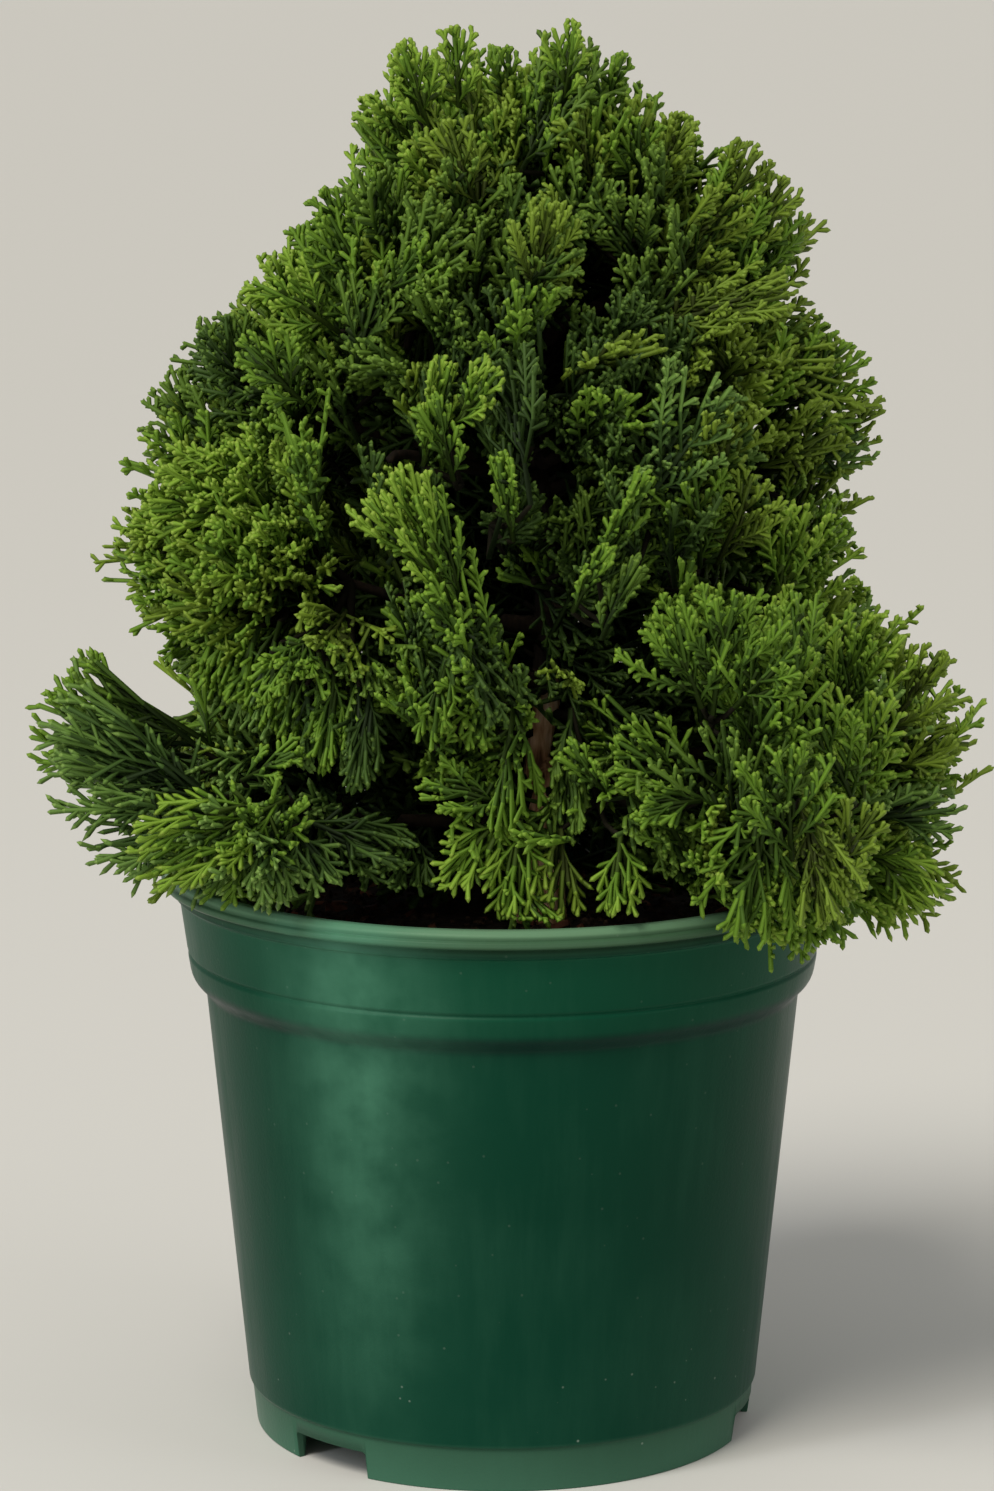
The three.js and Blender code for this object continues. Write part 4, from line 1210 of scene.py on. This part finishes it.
# how far the crown reaches, seen from the front, at the corners of its outline:
# hem and crest are x and z, the sides are z and x
outline = {
    "hem": ((-140, 190), (-118, 184), (-104, 172), (-85, 164), (-60, 162), (45, 160), (72, 154), (82, 160),
            (90, 163), (104, 167), (118, 168), (132, 171), (140, 174)),
    "crest": ((-60, 402), (-47, 417), (-36, 428), (-31, 434), (-12, 441), (5, 434), (20, 442), (35, 434),
              (44, 419), (58, 415), (66, 411), (84, 401), (100, 372)),
    "left": ((170, -100), (195, -125), (207, -133), (240, -144), (250, -124), (262, -115), (293, -113),
             (329, -104), (348, -94), (354, -81), (372, -68), (390, -54), (421, -40)),
    "right": ((170, 137), (225, 139), (245, 135), (256, 128), (262, 114), (280, 101), (293, 101),
              (329, 115), (341, 112), (353, 92), (390, 89), (409, 67), (421, 46)),
}


def outlineAt(name, at):
    return np.interp(at, *zip(*outline[name]))


def excess(amount):
    # how far a spray goes over an edge; a few of its tips may
    return np.percentile(np.maximum(amount, 0), 96)


sunlitAbove = 414
frontHalf = 20  # y; what is further back doesn't count for the hem or the accents
reachLow, reachHigh = np.array(cadLow) / mm - 1, np.array(cadHigh) / mm + (3, 1, 0)
for spray in placed:
    middle = spray["end"] - spray["axis"] * spray["length"] * 0.35
    x, z = seenFromFront(middle)
    if middle[1] < frontHalf and spray["hue"] != hues["shaded"]:
        for atX, atZ, reach, hue in accents:
            if math.hypot(x - atX, z - atZ) < reach:
                spray["hue"] = hues[hue]
    if z > sunlitAbove and spray["hue"] < hues["sunlit"] and rng.random() < 0.6:
        spray["hue"] = hues["sunlit"]
    for again in range(2):  # moved inside the outline, and once more since its edges slope
        x, z = seenFromFront(toWorld(spray, spray["template"]["tips"][:, 1]))
        up = excess(outlineAt("hem", x) - z) if spray["end"][1] < frontHalf else 0
        down = excess(z - outlineAt("crest", x))
        inwards = excess(outlineAt("left", z) - x) - excess(x - outlineAt("right", z))
        spray["end"] = spray["end"] + np.array([inwards, 0, up - down])
    spray["end"] = np.clip(spray["end"], reachLow, reachHigh)
print(len(placed), "sprays in all")

# dark gaps between the sprays, seen from the front: a line in x and z, how far round it is kept clear, and
# back to which y; the last ones go right through, to the sky
gaps = [
    (30, 370, 28, 356, 2, -10),
    (17, 348, 15, 330, 2, -10),
    (-37, 325, -28, 308, 5, -10),
    (-45, 302, -44, 284, 5, -10),
    (-41, 280, -38, 253, 4, -10),
    (-13, 296, -10, 272, 4, -10),
    (-5, 269, 12, 265, 6, -10),
    (21, 252, 32, 249, 6, -10),
    (37, 266, 37, 256, 4, -10),
    (37, 241, 48, 237, 6, -10),
    (-37, 229, -30, 225, 5, -10),
    (-42, 208, -24, 204, 6, -10),
    (-26, 193, -22, 181, 6, -10),
    (10.5, 220, 10, 207, 2.4, -2),
    (10, 191, 10, 186, 2, -2),
    (-51, 179, -1, 175, 4, -10),
    (62, 224, 59, 214, 2.5, -10),
    (-52, 226, -42, 214, 5, 0),
    (-26, 348, -25, 342, 3, -10),
    (60, 276, 78, 273, 3, -10),
    (92, 242, 96, 233, 3, -10),
    (-47, 314, -46, 306, 4, -10),
    (12, 306, 18, 302, 4, -10),
    (52, 391, 54, 386, 3, -10),
    (79, 307, 81, 300, 3, -10),
    (-8, 307, -6, 298, 4, -10),
    (-112, 220, -108, 216, 3, -10),
    (-96, 229, -95, 222, 3, -10),
    (-11, 317, -9, 310, 3, -10),
    (66, 198, 69, 192, 3, -10),
    (-12, 412, -10, 406, 2.5, -10),
    (18, 171, 33, 168, 3, -10),
    (22, 196, 30, 191, 4, -10),
    (49, 180, 52, 170, 5, -10),
    (60, 174, 66, 169, 4, -10),
    (19, 178, 20, 170, 2.5, -10),
    (-110, 250, -98, 239, 6, 90),
    (77, 149, 97, 152, 5, 90),
]


skyBack = 50  # y; a gap that is clear further back than this goes to the sky


def inGap(points, skyOnly=False):
    x, z = seenFromFront(points)
    found = np.zeros(x.shape, bool)
    for x0, z0, x1, z1, reach, back in gaps:
        if skyOnly and back < skyBack:
            continue
        run = np.array([x1 - x0, z1 - z0], float)
        t = np.clip(((x - x0) * run[0] + (z - z0) * run[1]) / max(run @ run, 1), 0, 1)
        found |= (np.hypot(x - x0 - t * run[0], z - z0 - t * run[1]) < reach) & (points[..., 1] < back)
    return found


# leaves
leafMaterials = []
for hue, tones in leafTones.items():
    for age, tone, sheen in zip(("old", "mid", "young", "tip"), tones, (0.08, 0.1, 0.16, 0.22)):
        # Scale leaves pressed to the twig: waxy, satin, never glossy, duller where they are old.
        leafMaterials.append(newMaterial(f"scale_leaves_{hue}_{age}", Base_Color=toLinear(tone),
                                         Roughness=0.5, IOR=1.42, Specular_IOR_Level=sheen)[0])

strandSides = 3
flatness = 0.85  # of a stem or lobe: its height to its width
widestAt = 0.78  # where a lobe is widest, as a share of its length
stemPoint = 0.9  # how far a stem's pointed end stands out, in mm


def ringPoints(centre, way, normal, radius):
    # a ring of points round each centre, one of them up on the ridge
    across = np.cross(normal, way)
    across /= np.maximum(np.linalg.norm(across, axis=-1, keepdims=True), 1e-9)
    up = np.cross(way, across)
    turns = math.pi / 2 + np.arange(strandSides) * 2 * math.pi / strandSides
    ways = [across * math.cos(t) + up * (math.sin(t) * flatness) for t in turns]
    return np.stack([centre + way * radius[..., None] for way in ways], -2)


def strandFaces(rings, foot):
    # bands from ring to ring, then the cap over the last one and the foot under the first
    faces, n = [], strandSides
    for first in range(0, (rings - 1) * n, n):
        for i in range(n):
            j = (i + 1) % n
            faces += [(first + i, first + j, first + n + j), (first + i, first + n + j, first + n + i)]
    last = (rings - 1) * n
    faces += [(last + i, last + (i + 1) % n, rings * n) for i in range(n)]
    if foot:
        faces += [(0, i + 1, i) for i in range(1, n - 1)]
    return np.array(faces)


tipFaces, stemFaces = strandFaces(2, False), strandFaces(3, True)
band = 2 * strandSides  # faces in one band
leastLeft = 0.4  # a spray that has fewer of its lobes left than this is dropped


def trimmed(spray):
    # the spray's stems and tips without those in a gap, or None if too little of it is left
    template = spray["template"]
    stems, tips = toWorld(spray, template["stems"]), toWorld(spray, template["tips"])
    stemPoints = np.concatenate([stems, (stems[:, 1:] + stems[:, :-1]) / 2], 1)
    keepStem = ~inGap(stemPoints, spray["whole"]).any(1)
    if not keepStem[0]:
        return None
    keepTip = keepStem[template["tipStem"]] & ~inGap(tips, spray["whole"]).any(1)
    lobes = np.bincount(template["tipStem"], minlength=len(stems))
    kept = np.bincount(template["tipStem"][keepTip], minlength=len(stems))
    keepStem &= 2 * kept >= lobes  # a rib goes when most of its lobes have gone
    keepStem[0] = True
    keepTip &= keepStem[template["tipStem"]]
    if keepTip.sum() < leastLeft * len(tips):
        return None
    return stems[keepStem], tips[keepTip], keepStem, keepTip


def buildSprays(sprays):
    points, faces, slots, count = [], [], [], 0

    def add(block, pattern, slot):  # one row of points for each strand, which all have the same faces
        nonlocal count
        offsets = count + np.arange(len(block)) * block.shape[1]
        faces.append((pattern[None] + offsets[:, None, None]).reshape(-1, 3))
        slots.append(slot.ravel())
        points.append(block.reshape(-1, 3))
        count += block.shape[0] * block.shape[1]

    for spray in sprays:
        left = trimmed(spray)
        if left is None:
            continue
        spray["drawn"] = True
        stems, tips, keepStem, keepTip = left
        template, tone = spray["template"], spray["hue"] * 4
        # stems
        radii = template["stemRadii"][keepStem]
        ways = np.gradient(stems, axis=1)
        ways /= np.maximum(np.linalg.norm(ways, axis=-1, keepdims=True), 1e-9)
        radius = radii[:, :1] + (radii[:, 1:] - radii[:, :1]) * np.linspace(0, 1, 3)
        rings = ringPoints(stems, ways, spray["normal"], radius)
        apex = stems[:, -1] + ways[:, -1] * stemPoint
        isAxis = template["stemOuter"][keepStem] < 0.3
        slot = np.where(isAxis[:, None], tone, tone + 1) + np.zeros(len(stemFaces), int)
        slot[:, band:2 * band] += 1
        slot[:, 2 * band:2 * band + strandSides] += 2
        add(np.concatenate([rings.reshape(len(stems), -1, 3), apex[:, None]], 1), stemFaces, slot)
        # tips
        outer = template["tipOuter"][keepTip]
        start, end = tips[:, 0], tips[:, 1]
        way = end - start
        reach = np.linalg.norm(way, axis=-1, keepdims=True)
        way = way / np.maximum(reach, 1e-9)
        spots = start, start + way * reach * widestAt
        rings = [ringPoints(spot, way, spray["normal"], np.full(len(tips), radius))
                 for spot, radius in zip(spots, template["lobeRadii"])]
        body = tone + np.where(outer > 0.5, 2, np.where(outer > 0.2, 1, 0))
        slot = np.repeat(body[:, None], len(tipFaces), 1)
        slot[:, band:] = np.minimum(body + 1, tone + 3)[:, None]
        add(np.concatenate(rings + [end[:, None]], 1), tipFaces, slot)
    return np.vstack(points), np.vstack(faces), np.concatenate(slots)


# the masses in turn, gathered into pieces
pieceLimit = 195000  # triangles, before any are cut away
batches, load = [[]], 0
for name in massNames:
    own = [spray for spray in placed if spray["mass"] == name]
    weight = sum(len(s["template"]["tips"]) * len(tipFaces) + len(s["template"]["stems"]) * len(stemFaces)
                 for s in own)
    if load + weight > pieceLimit:
        batches.append([])
        load = 0
    batches[-1].append((name, own))
    load += weight
total = 0
for number, batch in enumerate(batches, 1):
    sprays = [spray for _, own in batch for spray in own]
    points, faces, slots = buildSprays(sprays)
    piece = meshFromArrays(f"sprays_{number}", points * mm, faces, leafMaterials, slots)
    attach(piece, "root")
    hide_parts(*[name for name, _ in batch])
    total += len(faces)
print("sprays made,", total, "triangles in", len(batches), "pieces")


# wood: trunk, boughs and twigs
def smoothPath(stops, step):
    # a rounded line through all its stops, with a point every so many mm
    stops = np.asarray(stops, float)
    ends = np.vstack([2 * stops[0] - stops[1], stops, 2 * stops[-1] - stops[-2]])
    path = []
    for a, b, c, d in zip(ends, ends[1:], ends[2:], ends[3:]):
        count = max(2, int(round(np.linalg.norm(c - b) / step)))
        t = (np.arange(count) / count)[:, None]
        path.append(0.5 * (2 * b + (c - a) * t + (2 * a - 5 * b + 4 * c - d) * t ** 2
                           + (3 * b - a - 3 * c + d) * t ** 3))
    return np.vstack(path + [stops[-1:]])


def barkRelief(path, sides, depth, waves, draw):
    # ridges that run along the limb and wander round it
    s = np.append(0, np.cumsum(np.linalg.norm(np.diff(path, axis=0), axis=1)))
    turns = np.arange(sides) / sides * 2 * math.pi
    relief = np.zeros((len(path), sides))
    for wave in waves:
        start, much = draw.uniform(0, 6.28), draw.uniform(0.6, 1.6)
        drift = start + much * np.sin(s / draw.uniform(12, 40) + draw.uniform(0, 6.28))
        swell = 0.65 + 0.35 * np.sin(s / draw.uniform(3, 12) + draw.uniform(0, 6.28))
        relief += swell[:, None] * (1 - 2 * abs(np.sin((wave * turns[None] + drift[:, None]) / 2)))
    return 1 + depth * relief / math.sqrt(len(waves))


draw = np.random.default_rng(31)
wood = Sweep()
# ridges: how many stand round it; depth: theirs, as a share of the radius
# roots: how many swell at the foot, how far as a share of the radius, and their turn
trunk = {"sides": 44, "step": 1.4, "depth": 0.075, "ridges": (3, 7, 11, 13, 17, 22), "rootHeight": 5,
         "roots": ((3, 0.16, 0.6), (5, 0.1, 2.1))}
trunkRadii = np.array([np.median(np.hypot(*(trunkPoints[abs(trunkPoints[:, 2] - z) < 0.2] - axis)[:, :2].T))
                       for z, axis in zip(trunkHeights, trunkAxis)])
path = smoothPath(trunkAxis, trunk["step"])
radii = np.interp(path[:, 2], trunkAxis[:, 2], trunkRadii)
relief = barkRelief(path, trunk["sides"], trunk["depth"], trunk["ridges"], draw)
turns = np.arange(trunk["sides"]) / trunk["sides"] * 2 * math.pi
flare = np.exp(-(path[:, 2] - path[0, 2]) / trunk["rootHeight"])[:, None]
relief += flare * sum(much * np.cos(count * turns + start) for count, much, start in trunk["roots"])
wood.tube(path, radii, trunk["sides"], relief)
trunkFaces = len(wood.triangles[0])

bough = {"sides": 14, "step": 2.2, "depth": 0.08, "ridges": (3, 5, 7), "radii": (3.3, 2.6, 1.3)}
limbEnds = {}  # by mass, where the others may grow on from
for name in boughNames:
    mass = "mass_" + name[6:]
    points = nodePoints(name) / mm
    order = np.argsort(offTrunk(points))
    few, half = max(4, len(order) // 8), len(order) // 2
    parts = slice(0, few), slice(half - few // 2, half + few // 2), slice(-few, None)
    near, middle, far = (points[order[part]].mean(0) for part in parts)
    root = solids[mass]["root"]
    knee = (middle + (near + far) / 2) / 2
    path = smoothPath([trunkAt(near[2] - 1), near, knee, far, far * 0.35 + root * 0.65], bough["step"])
    radii = np.interp(np.linspace(0, 1, len(path)), (0, 0.25, 1), bough["radii"])
    wood.tube(path, radii, bough["sides"],
              barkRelief(path, bough["sides"], bough["depth"], bough["ridges"], draw))
    limbEnds[mass] = path[-1]
woodPoints, woodFaces = wood.arrays()


def barkMaterial(name, colours, darkFrom):  # above darkFrom, in mm, no light reaches the bark: it gets painted shade there
    material, tree, shader = newMaterial(name, Roughness=0.9, Specular_IOR_Level=0.2)
    place = addNode(tree, "ShaderNodeTexCoord").outputs["Object"]
    stretched = addNode(tree, "ShaderNodeVectorMath", {0: place, 1: (1.0, 1.0, 0.12)},
                        operation="MULTIPLY").outputs[0]
    fibre = addNode(tree, "ShaderNodeTexNoise", {"Vector": stretched, "Scale": 1 / (1.6 * mm), "Detail": 4.0})
    blotch = addNode(tree, "ShaderNodeTexNoise", {"Vector": place, "Scale": 1 / (14 * mm), "Detail": 2.0})
    mixed = addNode(tree, "ShaderNodeMath", {0: fibre.outputs["Fac"], 1: blotch.outputs["Fac"]},
                    operation="ADD")
    halved = addNode(tree, "ShaderNodeMath", {0: mixed.outputs[0], 1: 0.5}, operation="MULTIPLY").outputs[0]
    ramp = addNode(tree, "ShaderNodeValToRGB", {"Fac": halved})
    bark = setRamp(ramp, list(zip((0.36, 0.45, 0.53, 0.63), colours)))
    height = addNode(tree, "ShaderNodeSeparateXYZ", {0: place}).outputs["Z"]
    # painted shade: the bark turns dark above darkFrom
    paintedShade = addNode(tree, "ShaderNodeMapRange", {"Value": height, "From Min": darkFrom * mm,
                                                 "From Max": (darkFrom + 16) * mm}).outputs[0]
    withPaintedShade = addNode(tree, "ShaderNodeMix", {"Factor": paintedShade, 6: bark, 7: toLinear("#1B140D")},
                      data_type="RGBA")
    tree.links.new(withPaintedShade.outputs[2], shader.inputs["Base Color"])
    bump = addNode(tree, "ShaderNodeBump", {"Height": fibre.outputs["Fac"], "Strength": 0.8,
                                            "Distance": 0.5 * mm})
    tree.links.new(bump.outputs["Normal"], shader.inputs["Normal"])
    return material


# Old bark: fibrous and dry, warm brown strips over a darker groove, no shine; its tones are painted paler
# than the bark as painted light, since the crown shades it, and above 222 mm it gets painted shade.
oldBark = barkMaterial("hinoki_bark", ["#6B4C35", "#B5865F", "#DDB58C", "#F2D5B0"], 222)
# Bark inside the crown, which no light reaches: a copy of the bark, painted dark as painted shade.
shadedBark = barkMaterial("hinoki_bark_shaded", ["#0D0906", "#18110B", "#231A11", "#30251A"], 400)
onTrunk = np.arange(len(woodFaces)) < trunkFaces
limbs = meshFromArrays("bark", woodPoints * mm, woodFaces, [shadedBark, oldBark], onTrunk.astype(int))
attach(limbs, "root")
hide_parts("trunk", *boughNames)
print("trunk and boughs made,", len(woodFaces), "triangles")

# twigs: from the end of each limb to groups of sprays, and from there to every spray
shoot = {
    "sides": 5,
    "step": 7,  # mm
    "sag": 0.06,  # share of the length
    "groupOf": 5,  # sprays
    "besideTrunk": 16,  # sprays that start nearer than this, in mm, grow from the trunk itself
    "knot": 0.6,  # where a group parts, on the way to its middle
    "toMass": (1.9, 1.3),  # radii in mm
    "fromTrunk": (1.3, 0.8),
    "toGroup": (1.4, 1.0),
    "toSpray": (0.95, 0.75),
}
twigs = Sweep()
stops = [*limbEnds.values(), *(trunkAt(z) for z in range(170, 400, 6))]


def twig(start, end, radii):
    run = np.linalg.norm(end - start)
    bow = (start + end) / 2 + np.array([0, 0, -1]) * run * shoot["sag"] + draw.normal(0, 0.5, 3)
    path = smoothPath([start, bow, end], max(shoot["step"], run / 6))
    if not inGap(np.vstack([path, (path[1:] + path[:-1]) / 2])).any():
        twigs.tube(clearPot(path), np.linspace(*radii, len(path)), shoot["sides"])


for name in massNames:
    start, root = limbEnds.get(name), solids[name]["root"]
    if start is None:  # no bough of its own: it grows from the nearest limb, rather from below
        start = min(stops, key=lambda p: np.linalg.norm(p - root) + max(0, p[2] - root[2]))
        twig(start, root, shoot["toMass"])
        start = root
    own = [s for s in placed if s["mass"] == name and s["drawn"]]
    bases = np.array([s["end"] - s["axis"] * s["length"] for s in own])
    beside = offTrunk(bases) < shoot["besideTrunk"]
    for base in bases[beside]:
        twig(trunkAt(base[2] - 3), base, shoot["fromTrunk"])
    bases = bases[~beside]
    if not len(bases):
        continue
    count = max(1, round(len(bases) / shoot["groupOf"]))
    centres = bases[draw.choice(len(bases), count, replace=False)]
    for again in range(6):  # each base joins the nearest centre, which then moves to the middle of its group
        group = np.argmin(((bases[:, None] - centres[None]) ** 2).sum(-1), 1)
        centres = np.array([bases[group == i].mean(0) if (group == i).any() else centres[i]
                            for i in range(count)])
    for i in range(count):
        if not (group == i).any():
            continue
        knot = start + (centres[i] - start) * shoot["knot"]
        twig(start, knot, shoot["toGroup"])
        for base in bases[group == i]:
            twig(knot, base, shoot["toSpray"])

# Young wood under the sprays: dull, and painted nearly black as painted shade for the sprays above it; it
# shows in the gaps only.
youngBark = newMaterial("young_bark", Base_Color=toLinear("#17150C"), Roughness=0.85,
                        Specular_IOR_Level=0.1)[0]
twigPoints, twigFaces = twigs.arrays()
small = meshFromArrays("twigs", twigPoints * mm, twigFaces, [youngBark])
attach(small, "root")
print("twigs made,", len(twigFaces), "triangles")
